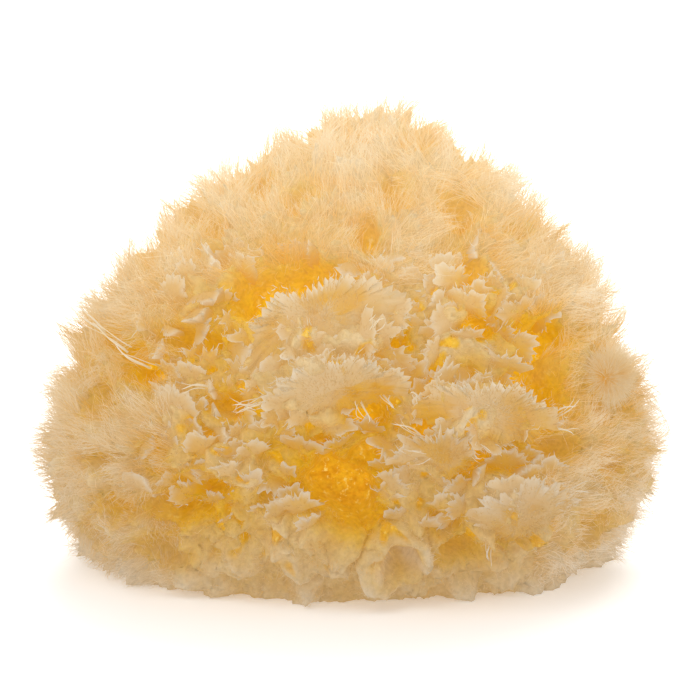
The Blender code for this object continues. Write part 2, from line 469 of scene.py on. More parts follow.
@dataclass
class Growth:
    """How the sponge grows: the rules that its solid follows, and the finer tufts on top of them."""

    dome: Dome = field(default_factory=Dome)
    lump: float = 1.6 * MM
    lump_span: float = 34.0 * MM
    lump_offset: float = 1.9
    tuft_spacing: float = 8.2 * MM
    tuft_length: float = 7.5 * MM
    tuft_radius: float = 11.0 * MM
    tuft_core: float = 0.62
    tuft_point: float = 1.2
    tuft_stretch: tuple[float, float] = (0.6, 1.5)
    shortest_tuft: float = 0.3
    lean: float = 0.35
    wave: float = 1.8 * MM
    wave_span: float = 7.0 * MM
    wave_offsets: tuple[float, float, float] = (11.0, 23.0, 37.0)
    feature_depth: float = 1.4
    flap_rim: tuple[float, float] = (1.25, 0.4)
    flap_overhang: float = 0.16
    flap_tufted: float = 0.25
    flap_edge: tuple[float, float] = (0.98, 0.2)
    full_mound: float = 5.0
    under_lobe: float = 2.0 * MM
    canal_wall: tuple[float, float] = (1.3, 0.6)
    canal_sinks: float = 0.7
    canal_shows: float = 0.45
    scattered_canals: int = 72
    scattered_glow: tuple[float, float] = (0.28, 0.25)
    canals_apart: float = 12.0 * MM
    clear_of_placed: float = 11.0 * MM
    lowest_canal: float = 6.0 * MM
    canal_sizes: tuple[float, float] = (1.8 * MM, 4.6 * MM)
    canal_depths: tuple[float, float] = (7.0 * MM, 14.0 * MM)
    coarse_divisions: int = 7
    halo: tuple[float, float] = (0.7, 0.95)
    dimmest_halo: float = 0.3
    shining: tuple[float, float] = (0.4, 0.55)
    quiet: float = 0.2
    lip: float = 1.2 * MM
    lip_edge: tuple[float, float] = (1.35, 0.35)
    pore_span: float = 3.4 * MM
    pore_offset: float = 15.0
    pore_sill: float = 0.27
    pore_rim: float = 0.16
    pore_depth: float = 1.6 * MM
    pore_shine: float = 0.42
    pore_warmth: float = 0.7
    poreless_foot: tuple[float, float] = (6.0 * MM, 8.0 * MM)
    sprig_spacing: float = 2.5 * MM
    sprig_length: float = 3.0 * MM
    sprig_radius: float = 2.7 * MM
    sprig_core: float = 0.72
    sprig_point: float = 1.0
    sprig_stretch: tuple[float, float] = (0.7, 1.4)
    sprig_lean: float = 0.5
    shortest_sprig: float = 0.35
    sprigs_sink: float = 0.25
    sprigs_on_ground: float = 0.5
    smooth_hollow: float = 0.6
    crumb: float = 0.75 * MM
    crumb_span: float = 1.5 * MM
    crumb_offsets: tuple[float, float] = (5.0, 9.0)
    fur_middle: float = 2.0
    fur_sides: tuple[float, float] = (38.0, 16.0)
    fur_crown: tuple[float, float] = (62.0, 16.0)
    fur_back: float = 0.3
    fur_depth: float = 2.8 * MM
    fur_rounds: float = 0.22
    shortest_pile: float = 0.5
    full_pile: float = 46.0 * MM
    ground: float = 2.0 * MM
    creamy: float = 0.29
    creamy_tuft: float = 0.28
    creamy_sprig: float = 0.12
    creamy_mound: float = 0.15
    creamy_lip: float = 0.25
    creamy_foot: float = 0.16
    foot_height: float = 18.0 * MM
    warmth: float = 0.62
    creamiest: float = 0.75
    whorl_dark: float = 0.3
    whorl_middle: float = 3.5 * MM
    mouth_clear: float = 1.3
    base_depth: float = 9.0 * MM
    base_spans: tuple[float, float] = (6.5 * MM, 2.4 * MM)
    base_offsets: tuple[float, float] = (4.0, 8.0)
    base_finer: float = 0.5
    base_sill: float = 0.02
    base_pore: tuple[float, float] = (9.0 * MM, 5.0 * MM)
    drawn_back: float = 0.8
    tufts: Tufts = field(init=False)
    canal_centres: np.ndarray = field(init=False)
    canal_shapes: np.ndarray = field(init=False)
    canal_glows: np.ndarray = field(init=False)

    def plan(self, rng: np.random.Generator) -> None:
        """Places the tufts and canals where the solid has them, in the same seeded order.

        Args:
            rng: the seeded source that the solid uses too.
        """
        directions = unit(sphere_points(self.coarse_divisions))
        dome = self.dome.meet(np.broadcast_to(self.start(), directions.shape), directions)
        normals = self.dome.normals(dome)
        waved = self.waved(dome)
        picks = scatter(waved, self.tuft_spacing, rng)
        lengths = self.tuft_length * rng.uniform(self.shortest_tuft, 1.0, len(picks))
        leans = unit(rng.normal(size=(len(picks), 3))) * self.lean
        stretch = rng.uniform(*self.tuft_stretch, len(picks))
        turns = unit(np.cross(normals[picks], rng.normal(size=(len(picks), 3))))
        shape = self.tuft_radius, self.tuft_core, self.tuft_point
        self.tufts = Tufts(waved[picks], lengths, leans, stretch, turns, *shape)
        self.plan_canals(dome, rng)

    def plan_canals(self, dome: np.ndarray, rng: np.random.Generator) -> None:
        """Takes the front's canals from their list, and scatters others over the rest.

        Args:
            dome: points of the dome to choose from.
            rng: the seeded source of their places and sizes.
        """
        centres = np.array([self.dome.on_front(c.across, c.up) for c in CANALS])
        sizes = np.array([(c.wide, c.high, c.deep) for c in CANALS]) * MM
        spots = scatter(dome, self.canals_apart, rng)
        away = [np.min(np.linalg.norm(centres - dome[i], axis=1)) for i in spots]
        spots = [i for i, gap in zip(spots, away) if gap > self.clear_of_placed]
        spots = [i for i in spots if dome[i][2] > self.lowest_canal][: self.scattered_canals]
        mouths = rng.uniform(*self.canal_sizes, (len(spots), 2))
        depths = rng.uniform(*self.canal_depths, (len(spots), 1))
        glows = self.scattered_glow[0] + self.scattered_glow[1] * dome[spots][:, 2] / self.dome.height
        self.canal_centres = np.concatenate([centres, dome[spots]])
        self.canal_shapes = np.concatenate([sizes, np.hstack([mouths, depths])])
        self.canal_glows = np.concatenate([[c.glow for c in CANALS], glows])

    def start(self) -> np.ndarray:
        """The point inside the dome that the skin grows out from."""
        return np.array([0.0, 0.0, self.dome.widest_at])

    def waved(self, dome: np.ndarray) -> np.ndarray:
        """The dome's points, moved a little so that every edge is wavy."""
        wave = np.array([noise_at(dome, self.wave_span, offset) for offset in self.wave_offsets]).T
        return dome + wave * self.wave

    def distance(self, points: np.ndarray, centre: np.ndarray, wide: float, high: float) -> np.ndarray:
        """How far points lie from a feature's centre, 1 at its edge."""
        away = (points - centre) / np.array([wide, max(wide, high) * self.feature_depth, high])
        return np.sqrt(np.sum(away * away, axis=1))

    def grow(self, directions: np.ndarray, rng: np.random.Generator) -> Surface:
        """Grows the skin.

        Args:
            directions: the way to each point of the skin from inside the dome.
            rng: the seeded source of the small tufts.

        Returns:
            The skin, cut flat at the base, with the middle of its box over the origin.
        """
        draft = self.draft(directions)
        self.swell_flaps(draft)
        self.warm_slopes(draft)
        self.sink_canals(draft)
        lip = self.raise_lip(draft)
        self.open_pores(draft)
        small = self.sprigs(draft.waved, draft.normals, rng)
        sprigs, sprig_lean = small.relief(draft.waved, draft.tree)
        self.roughen(draft, sprigs, sprig_lean)
        level = self.level(draft, sprigs, lip)

        points = draft.dome + draft.normals * draft.height[:, None] + draft.side
        points = self.cut(points, self.start())
        middle = (points.min(axis=0) + points.max(axis=0)) / 2
        shift = np.array([middle[0], middle[1], 0.0])
        points = points - shift
        whorl = np.linalg.norm(draft.dome - self.dome.on_front(*WHORL_AT), axis=1)
        mouth = np.linalg.norm(draft.dome - self.dome.on_front(*MOUTH_AT), axis=1)
        # The whorl's middle is painted golden, as a deep place glows.
        level = level - self.whorl_dark * bell(whorl / self.whorl_middle)
        apart = np.minimum(whorl - WHORL_RADIUS, mouth - self.mouth_clear * MOUTH_SIZE[0])
        return Surface(
            points=points,
            dome_points=draft.dome,
            normals=draft.normals,
            level=level,
            hollow=draft.hollow,
            shine=draft.shine,
            warm=draft.warm,
            rim=draft.rim,
            rim_way=unit(draft.rim_way),
            shift=shift,
            apart=apart,
            tree=tree_of(points),
        )

    def draft(self, directions: np.ndarray) -> Draft:
        """Starts the skin as the dome with its large tufts.

        Args:
            directions: the way to each point of the skin from inside the dome.

        Returns:
            The skin without flaps, canals and small tufts.
        """
        dome = self.dome.meet(np.broadcast_to(self.start(), directions.shape), directions)
        normals = self.dome.normals(dome)
        waved = self.waved(dome)
        tree = tree_of(waved)
        relief, lean = self.tufts.relief(waved, tree)
        furred = self.furred(dome, normals)
        return Draft(
            dome=dome,
            normals=normals,
            waved=waved,
            tree=tree,
            relief=relief,
            furred=furred,
            height=self.lump * noise_at(dome, self.lump_span, self.lump_offset) - self.tuft_length + relief,
            side=lean - normals * np.sum(lean * normals, axis=1, keepdims=True),
            mound=furred,
            rim=np.zeros(len(dome)),
            rim_way=np.zeros((len(dome), 3)),
            hollow=np.zeros(len(dome)),
            shine=np.zeros(len(dome)),
            warm=np.zeros(len(dome)),
        )

    def swell_flaps(self, draft: Draft) -> None:
        """Raises the flaps of the front, less where a lobe will cover them, and marks their upper edges.

        Args:
            draft: the growing skin, which is changed.
        """
        tufted = 1 - self.flap_tufted * (1 - draft.relief / self.tuft_length)
        for flap in FLAPS:
            centre = self.dome.on_front(flap.across, flap.up)
            edge = self.distance(draft.waved, centre, flap.wide * MM, flap.high * MM)
            swell = smooth_step((self.flap_rim[0] - edge) / self.flap_rim[1])
            draft.height = draft.height + flap.out * MM * swell * tufted - self.under_lobe * swell
            spread = self.flap_overhang * swell * np.clip(edge, 0, 1)
            draft.side = draft.side + (draft.dome - centre) * spread[:, None]
            draft.mound = np.maximum(draft.mound, swell * np.clip(flap.out / self.full_mound, 0, 1))
            here = bell((edge - self.flap_edge[0]) / self.flap_edge[1])
            draft.rim_way[here > draft.rim] = (draft.dome - centre)[here > draft.rim]
            draft.rim = np.maximum(draft.rim, here)

    def warm_slopes(self, draft: Draft) -> None:
        """Paints a soft glow on the slopes of their list.

        Args:
            draft: the growing skin, which is changed.
        """
        for slope in SLOPES:
            centre = self.dome.on_front(slope.across, slope.up)
            away = self.distance(draft.dome, centre, slope.wide * MM, slope.high * MM)
            draft.warm = np.maximum(draft.warm, slope.warmth * bell(away))

    def sink_canals(self, draft: Draft) -> None:
        """Sinks the canals, each with a painted glowing floor and a painted warm halo.

        Args:
            draft: the growing skin, which is changed.
        """
        canals = zip(self.canal_centres, self.canal_shapes, self.canal_glows)
        for centre, (wide, high, depth), light in canals:
            wider = 1 + self.canal_shows * light
            edge = self.distance(draft.waved, centre, wide * wider, high * wider)
            fall = smooth_step((self.canal_wall[0] - edge) / self.canal_wall[1])
            floor = -self.tuft_length - depth * self.canal_sinks
            draft.height = draft.height + (np.minimum(draft.height, floor) - draft.height) * fall
            draft.side = draft.side * (1 - fall)[:, None]
            # Painted glow: a warm halo round each canal, and a shine on its floor.
            halo = bell(np.maximum(edge - self.halo[0], 0) / self.halo[1])
            draft.warm = np.maximum(draft.warm, halo * (self.dimmest_halo + (1 - self.dimmest_halo) * light))
            draft.hollow = np.maximum(draft.hollow, fall)
            soft = bell(np.maximum(edge - self.shining[0], 0) / self.shining[1])
            bright = np.clip((light - self.quiet) / (1 - self.quiet), 0, 1)
            draft.shine = np.maximum(draft.shine, soft * bright)

    def raise_lip(self, draft: Draft) -> np.ndarray:
        """Raises the lip around the mouth at the lower front.

        Args:
            draft: the growing skin, which is changed.

        Returns:
            How much of the lip is at each point.
        """
        edge = self.distance(draft.waved, self.dome.on_front(*MOUTH_AT), *MOUTH_SIZE)
        lip = bell((edge - self.lip_edge[0]) / self.lip_edge[1])
        draft.height = draft.height + self.lip * lip
        return lip

    def open_pores(self, draft: Draft) -> None:
        """Opens small pores with a painted golden glow and glints where neither fur nor the foot is.

        Args:
            draft: the growing skin, which is changed.
        """
        spots = noise_at(draft.dome, self.pore_span, self.pore_offset) - self.pore_sill
        pores = smooth_step(spots / self.pore_rim) * (1 - draft.furred)
        pores = pores * smooth_step((draft.dome[:, 2] - self.poreless_foot[0]) / self.poreless_foot[1])
        draft.height = draft.height - self.pore_depth * pores
        # Painted glints and glow in the pores.
        draft.shine = np.maximum(draft.shine, self.pore_shine * pores)
        draft.warm = np.maximum(draft.warm, self.pore_warmth * pores)

    def roughen(self, draft: Draft, sprigs: np.ndarray, sprig_lean: np.ndarray) -> None:
        """Adds the small tufts and the crumb, and lowers the skin under the fur and between the flaps.

        Args:
            draft: the growing skin, which is changed.
            sprigs: how far each point stands out in the small tufts.
            sprig_lean: how far it leans with them.
        """
        coarse = noise_at(draft.dome, self.crumb_span, self.crumb_offsets[0])
        crumb = self.crumb * (coarse + noise_at(draft.dome, self.crumb_span / 2, self.crumb_offsets[1]))
        share = self.sprigs_on_ground + (1 - self.sprigs_on_ground) * draft.mound
        fine = (sprigs * share + crumb) * (1 - self.smooth_hollow * draft.hollow)
        under_fur = (self.fur_depth + self.fur_rounds * draft.relief) * draft.furred * self.pile(draft.dome)
        draft.height = draft.height + fine - self.sprigs_sink * self.sprig_length
        draft.height = draft.height - under_fur - self.ground * (1 - draft.mound)
        draft.side = draft.side + sprig_lean * (1 - draft.hollow)[:, None]

    def level(self, draft: Draft, sprigs: np.ndarray, lip: np.ndarray) -> np.ndarray:
        """How creamy the skin is: painted light, cream where it stands out and golden where it lies deep.

        Args:
            draft: the grown skin.
            sprigs: how far each point stands out in the small tufts.
            lip: how much of the mouth's lip is there.

        Returns:
            0 where a point is golden, up to 1 where it is cream.
        """
        rise = self.creamy_tuft * draft.relief / self.tuft_length
        rise = rise + self.creamy_sprig * sprigs / self.sprig_length + self.creamy_mound * draft.mound
        foot = self.creamy_foot * smooth_step(1 - draft.dome[:, 2] / self.foot_height)
        # Painted light: what stands out, the foot and the lip are made creamier, and the painted glow near
        # the canals and slopes more golden.
        level = self.creamy + rise + foot + self.creamy_lip * lip - self.warmth * draft.warm
        return np.clip(level, 0, self.creamiest)

    def tucked(
        self, points: np.ndarray, shift: np.ndarray, proud: np.ndarray | float = 0.0
    ) -> np.ndarray:
        """Draws points that stand out of the dome back to it, and keeps all in their room.

        Args:
            points: places on the sponge.
            shift: what the sponge was moved back by.
            proud: how far each may stand out of the dome.

        Returns:
            The places, drawn back.
        """
        start = self.start() - shift
        way = points - start
        reach = np.linalg.norm(way, axis=1)
        edge = self.dome.meet(np.broadcast_to(start + shift, way.shape), unit(way)) - shift
        room = np.linalg.norm(edge - start, axis=1) + proud
        over = np.maximum(reach - room, 0.0)
        points = start + way * ((reach - over * self.drawn_back) / np.maximum(reach, 1e-9))[:, None]
        return kept_in(points)

    def furred(self, dome: np.ndarray, normals: np.ndarray) -> np.ndarray:
        """How much fur covers the dome.

        Args:
            dome: points of the dome.
            normals: the outward directions there.

        Returns:
            0 on the torn front, up to 1 on the crown, the sides and the back.
        """
        across, up = self.dome.in_view(dome)
        sides = smooth_step((np.abs(across - self.fur_middle) - self.fur_sides[0]) / self.fur_sides[1])
        crown = smooth_step((up - self.fur_crown[0]) / self.fur_crown[1])
        back = smooth_step(normals[:, 1] / self.fur_back)
        return np.maximum(np.maximum(sides, crown), back)

    def pile(self, dome: np.ndarray) -> np.ndarray:
        """How long the fur grows at places of the dome: short by the base, 1 higher up."""
        return self.shortest_pile + (1 - self.shortest_pile) * smooth_step(dome[:, 2] / self.full_pile)

    def sprigs(self, points: np.ndarray, normals: np.ndarray, rng: np.random.Generator) -> Tufts:
        """Places the small tufts that stand on the large ones.

        Args:
            points: the waved dome.
            normals: the outward directions there.
            rng: the seeded source of their places and shapes.

        Returns:
            The small tufts.
        """
        picks = scatter(points, self.sprig_spacing, rng)
        lengths = self.sprig_length * rng.uniform(self.shortest_sprig, 1.0, len(picks))
        leans = unit(rng.normal(size=(len(picks), 3))) * self.sprig_lean
        stretch = rng.uniform(*self.sprig_stretch, len(picks))
        turns = unit(np.cross(normals[picks], rng.normal(size=(len(picks), 3))))
        shape = self.sprig_radius, self.sprig_core, self.sprig_point
        return Tufts(points[picks], lengths, leans, stretch, turns, *shape)

    def cut(self, points: np.ndarray, start: np.ndarray) -> np.ndarray:
        """Draws whatever lies below the base up to the flat cut, and opens pores in the cut.

        Args:
            points: the grown skin.
            start: the point inside that it grew out from.

        Returns:
            The skin with its base cut flat.
        """
        drop = start[2] - points[:, 2]
        share = np.where(points[:, 2] < 0, start[2] / np.maximum(drop, 1e-6), 1.0)
        flat = start + (points - start) * share[:, None]
        below = smooth_step(-points[:, 2] / self.base_depth)
        wide, narrow = (noise_at(flat, *which) for which in zip(self.base_spans, self.base_offsets))
        pores = np.maximum(0.0, wide + self.base_finer * narrow - self.base_sill)
        rise = np.minimum(pores * self.base_pore[0], self.base_pore[1])
        flat[:, 2] = np.maximum(flat[:, 2], 0.0) + below * rise
        return flat


def sphere_points(divisions: int) -> np.ndarray:
    """Makes the points of a ball of triangles, in its own order.

    Args:
        divisions: how often its first faces are divided.

    Returns:
        The points, 1 from the middle.
    """
    mesh = bmesh.new()
    bmesh.ops.create_icosphere(mesh, subdivisions=divisions, radius=1.0)
    points = np.array([v.co for v in mesh.verts])
    mesh.free()
    return points


def object_from(name: str, points: np.ndarray, triangles: np.ndarray) -> bpy.types.Object:
    """Makes a smooth-shaded mesh object out of triangles.

    Args:
        name: the piece's name.
        points: its vertices.
        triangles: three vertex indices a row.

    Returns:
        The object, linked into the scene.
    """
    data = bpy.data.meshes.new(name)
    data.vertices.add(len(points))
    data.vertices.foreach_set("co", np.ascontiguousarray(points, dtype=np.float32).ravel())
    data.loops.add(triangles.size)
    data.loops.foreach_set("vertex_index", np.ascontiguousarray(triangles, dtype=np.int32).ravel())
    data.polygons.add(len(triangles))
    data.polygons.foreach_set("loop_start", np.arange(0, triangles.size, 3, dtype=np.int32))
    data.update(calc_edges=True)
    data.validate()
    data.shade_smooth()
    piece = bpy.data.objects.new(name, data)
    bpy.context.scene.collection.objects.link(piece)
    return piece


def paint(piece: bpy.types.Object, name: str, values: np.ndarray) -> None:
    """Stores one number a vertex on a piece, for its finish to read."""
    layer = piece.data.attributes.new(name, "FLOAT", "POINT")
    layer.data.foreach_set("value", np.ascontiguousarray(values, dtype=np.float32))


def dress(piece: bpy.types.Object, material: bpy.types.Material) -> None:
    """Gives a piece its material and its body.

    Args:
        piece: the piece.
        material: what it is made of.
    """
    piece.data.materials.append(material)
    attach(piece, "root")


class NodeBoard:
    """Short ways to put a finish's nodes together."""

    MIX_FIRST = 6
    MIX_SECOND = 7
    MIX_RESULT = 2

    def __init__(self, name: str) -> None:
        """Opens a new material with a plain shader.

        Args:
            name: the material's name.
        """
        self.material = bpy.data.materials.new(name)
        self.material.use_nodes = True
        self.tree = self.material.node_tree
        self.shader = self.tree.nodes["Principled BSDF"]
        self.output = self.tree.nodes["Material Output"]

    def add(self, kind: str, **settings: str) -> bpy.types.Node:
        """Adds a node and sets its properties.

        Args:
            kind: the node's type.
            **settings: its properties by name.

        Returns:
            The node.
        """
        node = self.tree.nodes.new(kind)
        for key, value in settings.items():
            setattr(node, key, value)
        return node

    def link(self, source: bpy.types.NodeSocket, target: bpy.types.NodeSocket) -> None:
        """Joins two sockets."""
        self.tree.links.new(source, target)

    def attribute(self, name: str) -> bpy.types.NodeSocket:
        """The number that paint() stored under a name."""
        return self.add("ShaderNodeAttribute", attribute_name=name).outputs["Fac"]

    def place(self) -> bpy.types.NodeSocket:
        """The place on the piece, in metres."""
        return self.add("ShaderNodeTexCoord").outputs["Object"]

    def height(self) -> bpy.types.NodeSocket:
        """Reads how high a place lies.

        Returns:
            0 at the base, 1 at the crown.
        """
        split = self.add("ShaderNodeSeparateXYZ")
        self.link(self.place(), split.inputs[0])
        ranged = self.add("ShaderNodeMapRange")
        ranged.inputs["From Max"].default_value = CAD_BOX[1][2]
        self.link(split.outputs["Z"], ranged.inputs["Value"])
        return ranged.outputs["Result"]

    def noise(self, span: float, detail: float = 3.0, rough: float = 0.6) -> bpy.types.NodeSocket:
        """Adds noise whose lumps are about a span across.

        Args:
            span: the width of a lump.
            detail: how many finer sizes it has.
            rough: how strong the finer ones are.

        Returns:
            The noise, about 0.5 in the middle.
        """
        node = self.add("ShaderNodeTexNoise")
        node.inputs["Scale"].default_value = 1 / span
        node.inputs["Detail"].default_value = detail
        node.inputs["Roughness"].default_value = rough
        self.link(self.place(), node.inputs["Vector"])
        return node.outputs["Fac"]

    def roughen(self, depth: float, span: float, detail: float) -> None:
        """Gives the shader a grain of small lumps.

        Args:
            depth: how deep the grain looks.
            span: the width of a lump.
            detail: how many finer sizes it has.
        """
        bump = self.add("ShaderNodeBump")
        bump.inputs["Distance"].default_value = depth
        bump.inputs["Strength"].default_value = 0.7
        self.link(self.noise(span, detail=detail, rough=0.7), bump.inputs["Height"])
        self.link(bump.outputs["Normal"], self.shader.inputs["Normal"])

    def math(
        self, how: str, a: bpy.types.NodeSocket, b: bpy.types.NodeSocket | float
    ) -> bpy.types.NodeSocket:
        """Does one sum.

        Args:
            how: the kind of sum.
            a: its first value.
            b: its second value.

        Returns:
            The result.
        """
        node = self.add("ShaderNodeMath", operation=how)
        self.link(a, node.inputs[0])
        if isinstance(b, float):
            node.inputs[1].default_value = b
        else:
            self.link(b, node.inputs[1])
        return node.outputs[0]

    def ramp(self, value: bpy.types.NodeSocket, stops: dict[float, Colour]) -> bpy.types.NodeSocket:
        """Makes a colour that follows a value.

        Args:
            value: what the colour follows.
            stops: the colour at some values, in rising order.

        Returns:
            The colour.
        """
        node = self.add("ShaderNodeValToRGB")
        elements = node.color_ramp.elements
        while len(elements) < len(stops):
            elements.new(0.5)
        for element, (at, colour) in zip(elements, stops.items()):
            element.position = at
            element.color = colour
        self.link(value, node.inputs["Fac"])
        return node.outputs["Color"]

    def mix(
        self,
        how: str,
        share: bpy.types.NodeSocket | float,
        a: bpy.types.NodeSocket | Colour,
        b: bpy.types.NodeSocket | Colour,
    ) -> bpy.types.NodeSocket:
        """Mixes two colours.

        Args:
            how: the way in which the second one acts on the first.
            share: how much of the second one is taken.
            a: the first colour.
            b: the second colour.

        Returns:
            The mixed colour.
        """
        node = self.add("ShaderNodeMix", data_type="RGBA", blend_type=how)
        for which, value in (("Factor", share), (self.MIX_FIRST, a), (self.MIX_SECOND, b)):
            if isinstance(value, bpy.types.NodeSocket):
                self.link(value, node.inputs[which])
            else:
                node.inputs[which].default_value = value
        return node.outputs[self.MIX_RESULT]


@dataclass(frozen=True)
class Tones:
    """The sponge's colours: gold where light comes through its depths, cream at its fibres' ends."""

    deep: Colour = (0.93, 0.52, 0.02, 1.0)
    slope: Colour = (0.89, 0.56, 0.12, 1.0)
    high: Colour = (0.87, 0.62, 0.27, 1.0)
    tip: Colour = (0.92, 0.78, 0.55, 1.0)
    snow: Colour = (1.0, 0.95, 0.83, 1.0)
    tan: Colour = (0.74, 0.71, 0.72, 1.0)
    mild: Colour = (0.86, 0.83, 0.80, 1.0)
    pale: Colour = (1.0, 0.93, 0.78, 1.0)
    canal_foot: Colour = (0.62, 0.30, 0.03, 1.0)
    canal_middle: Colour = (0.88, 0.47, 0.012, 1.0)
    canal_crown: Colour = (0.97, 0.62, 0.006, 1.0)
    white: Colour = (1.0, 1.0, 1.0, 1.0)
    black: Colour = (0.0, 0.0, 0.0, 1.0)
    golden: Colour = (0.98, 0.89, 0.72, 1.0)
    shy: Colour = (0.75, 0.75, 0.75, 1.0)
    ember: Colour = (0.84, 0.70, 0.50, 1.0)
    glint: Colour = (1.0, 0.78, 0.22, 1.0)
    crown_light_share: Colour = (0.26, 0.26, 0.26, 1.0)
    dim: Colour = (0.55, 0.55, 0.55, 1.0)
    fluff_span: float = 3.0 * MM
    fluff: float = 0.35
    patch_span: float = 6.0 * MM

    def flesh(self, board: NodeBoard) -> bpy.types.NodeSocket:
        """Colours skin, lobes and fibres by how far out they lie, as painted light: golden where deep, cream
        where out.

        Args:
            board: the nodes of the material.

        Returns:
            The colour.
        """
        fluff = board.math("SUBTRACT", board.noise(self.fluff_span, detail=5.0), 0.5)
        level = board.math("ADD", board.attribute("level"), board.math("MULTIPLY", fluff, self.fluff))
        tones = {0.0: self.deep, 0.24: self.slope, 0.5: self.high, 0.8: self.tip, 1.0: self.snow}
        colour = board.ramp(level, tones)
        lumps = board.noise(self.patch_span, detail=3.0)
        patches = board.ramp(lumps, {0.42: self.white, 0.68: self.golden})
        return board.mix("MULTIPLY", 1.0, colour, patches)

    def shaded(self, board: NodeBoard, colour: bpy.types.NodeSocket) -> bpy.types.NodeSocket:
        """Paints shade on a colour towards the base, and painted light that turns it pale towards the crown.

        Args:
            board: the nodes of the material.
            colour: the colour.

        Returns:
            The shaded colour.
        """
        # Painted shade tans the base; painted light pales the crown.
        shade = board.ramp(board.height(), {0.0: self.tan, 0.45: self.mild, 0.85: self.white})
        fade = board.ramp(board.height(), {0.55: self.black, 1.0: self.crown_light_share})
        return board.mix("MIX", fade, board.mix("MULTIPLY", 1.0, colour, shade), self.pale)


@dataclass(frozen=True)
class SkinFinish:
    """The sponge's skin: cream where it stands out, golden with light where it lies deep."""

    tones: Tones = field(default_factory=Tones)
    roughness: float = 0.85
    glow: float = 0.47
    canal_glow: float = 0.28
    glow_fleck_span: float = 1.1 * MM
    ember_span: float = 3.5 * MM
    glint_span: float = 1.6 * MM
    grain: float = 0.5 * MM
    grain_span: float = 0.9 * MM

    def canal(self, board: NodeBoard) -> bpy.types.NodeSocket:
        """Colours the canals' floors: embers and glints of the light from behind.

        Args:
            board: the nodes of the material.

        Returns:
            The colour.
        """
        tones = self.tones
        stops = {0.0: tones.canal_foot, 0.35: tones.canal_middle, 0.6: tones.canal_crown}
        # Painted glow of the canal floors: darker towards the base and yellow higher up, with painted
        # glints.
        floor = board.ramp(board.height(), stops)
        lumps = board.noise(self.ember_span, detail=3.0)
        floor = board.mix("MULTIPLY", 1.0, floor, board.ramp(lumps, {0.4: tones.ember, 0.58: tones.white}))
        lumps = board.noise(self.glint_span, detail=4.0)
        return board.mix("MIX", board.ramp(lumps, {0.56: tones.black, 0.7: tones.white}), floor, tones.glint)

    def make(self) -> bpy.types.Material:
        """Makes the material.

        Returns:
            The material.
        """
        board = NodeBoard("sponge_skin")
        tones = self.tones
        shine = board.attribute("shine")
        colour = board.mix("MIX", shine, tones.shaded(board, tones.flesh(board)), self.canal(board))
        shader = board.shader
        # The base colour is dimmed so that the painted glow below carries most of the colour.
        board.link(board.mix("MULTIPLY", 1.0, colour, tones.dim), shader.inputs["Base Color"])
        shader.inputs["Roughness"].default_value = self.roughness
        shader.inputs["Specular IOR Level"].default_value = SPECULAR
        # Painted glow: the emission stands in for light coming through the sponge. It comes in flecks, and
        # is brighter on the shining canal floors.
        lumps = board.noise(self.glow_fleck_span, detail=4.0)
        glow_flecks = board.ramp(lumps, {0.35: tones.shy, 0.6: tones.white})
        board.link(board.mix("MULTIPLY", 1.0, colour, glow_flecks), shader.inputs["Emission Color"])
        strength = board.math("ADD", board.math("MULTIPLY", shine, self.canal_glow), self.glow)
        board.link(strength, shader.inputs["Emission Strength"])
        board.roughen(self.grain, self.grain_span, 6.0)
        return board.material


@dataclass(frozen=True)
class FibreFinish:
    """Fibres and torn layers: golden like the skin at their roots, paler to their tips, translucent."""

    name: str
    tones: Tones = field(default_factory=Tones)
    dull: Colour = (0.94, 0.92, 0.90, 1.0)
    roughness: float = 0.7
    through: float = 0.5
    glow: float = 0.5
    grain: float = 0.0
    grain_span: float = 0.8 * MM

    def make(self) -> bpy.types.Material:
        """Makes the material.

        Returns:
            The material.
        """
        board = NodeBoard(self.name)
        tone = board.ramp(board.attribute("tone"), {0.0: self.dull, 1.0: self.tones.white})
        colour = board.mix("MULTIPLY", 1.0, self.tones.flesh(board), tone)
        colour = self.tones.shaded(board, colour)
        plain = board.mix("MULTIPLY", 1.0, colour, self.tones.dim)
        board.link(plain, board.shader.inputs["Base Color"])
        board.shader.inputs["Roughness"].default_value = self.roughness
        board.shader.inputs["Specular IOR Level"].default_value = SPECULAR
        # Painted glow: the emission stands in for light coming through the fibres, so the base colour is
        # dimmed. Their gold at the roots is painted light too.
        board.link(colour, board.shader.inputs["Emission Color"])
        board.shader.inputs["Emission Strength"].default_value = self.glow / (1 - self.through)
        if self.grain:
            board.roughen(self.grain, self.grain_span, 5.0)
        through = board.add("ShaderNodeBsdfTranslucent")
        board.link(plain, through.inputs["Color"])
        both = board.add("ShaderNodeMixShader")
        both.inputs[0].default_value = self.through
        board.link(board.shader.outputs[0], both.inputs[1])
        board.link(through.outputs[0], both.inputs[2])
        board.link(both.outputs[0], board.output.inputs["Surface"])
        return board.material


@dataclass
class SpongeBody:
    """The skin as one closed mesh, which stands for the solid."""

    growth: Growth
    finish: SkinFinish = field(default_factory=SkinFinish)
    divisions: int = 98
    towards_view: tuple[float, float, float] = (0.0, -0.40, 0.28)

    def build(self, rng: np.random.Generator) -> tuple[bpy.types.Object, Surface]:
        """Builds the body, finest where it shows most.

        Args:
            rng: the seeded source of the small tufts.

        Returns:
            The piece, and its skin for the coats to grow on.
        """
        mesh = bmesh.new()
        bmesh.ops.create_icosphere(mesh, subdivisions=1, radius=1.0)
        bmesh.ops.subdivide_edges(mesh, edges=mesh.edges[:], cuts=self.divisions, use_grid_fill=True)
        ball = unit(np.array([v.co for v in mesh.verts]))
        triangles = np.array([[v.index for v in f.verts] for f in mesh.faces])
        mesh.free()
        surface = self.growth.grow(unit(ball + np.array(self.towards_view)), rng)
        piece = object_from("sponge_body", surface.points, triangles)
        paint(piece, "level", surface.level)
        paint(piece, "shine", surface.shine)
        dress(piece, self.finish.make())
        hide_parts("sponge")
        return piece, surface


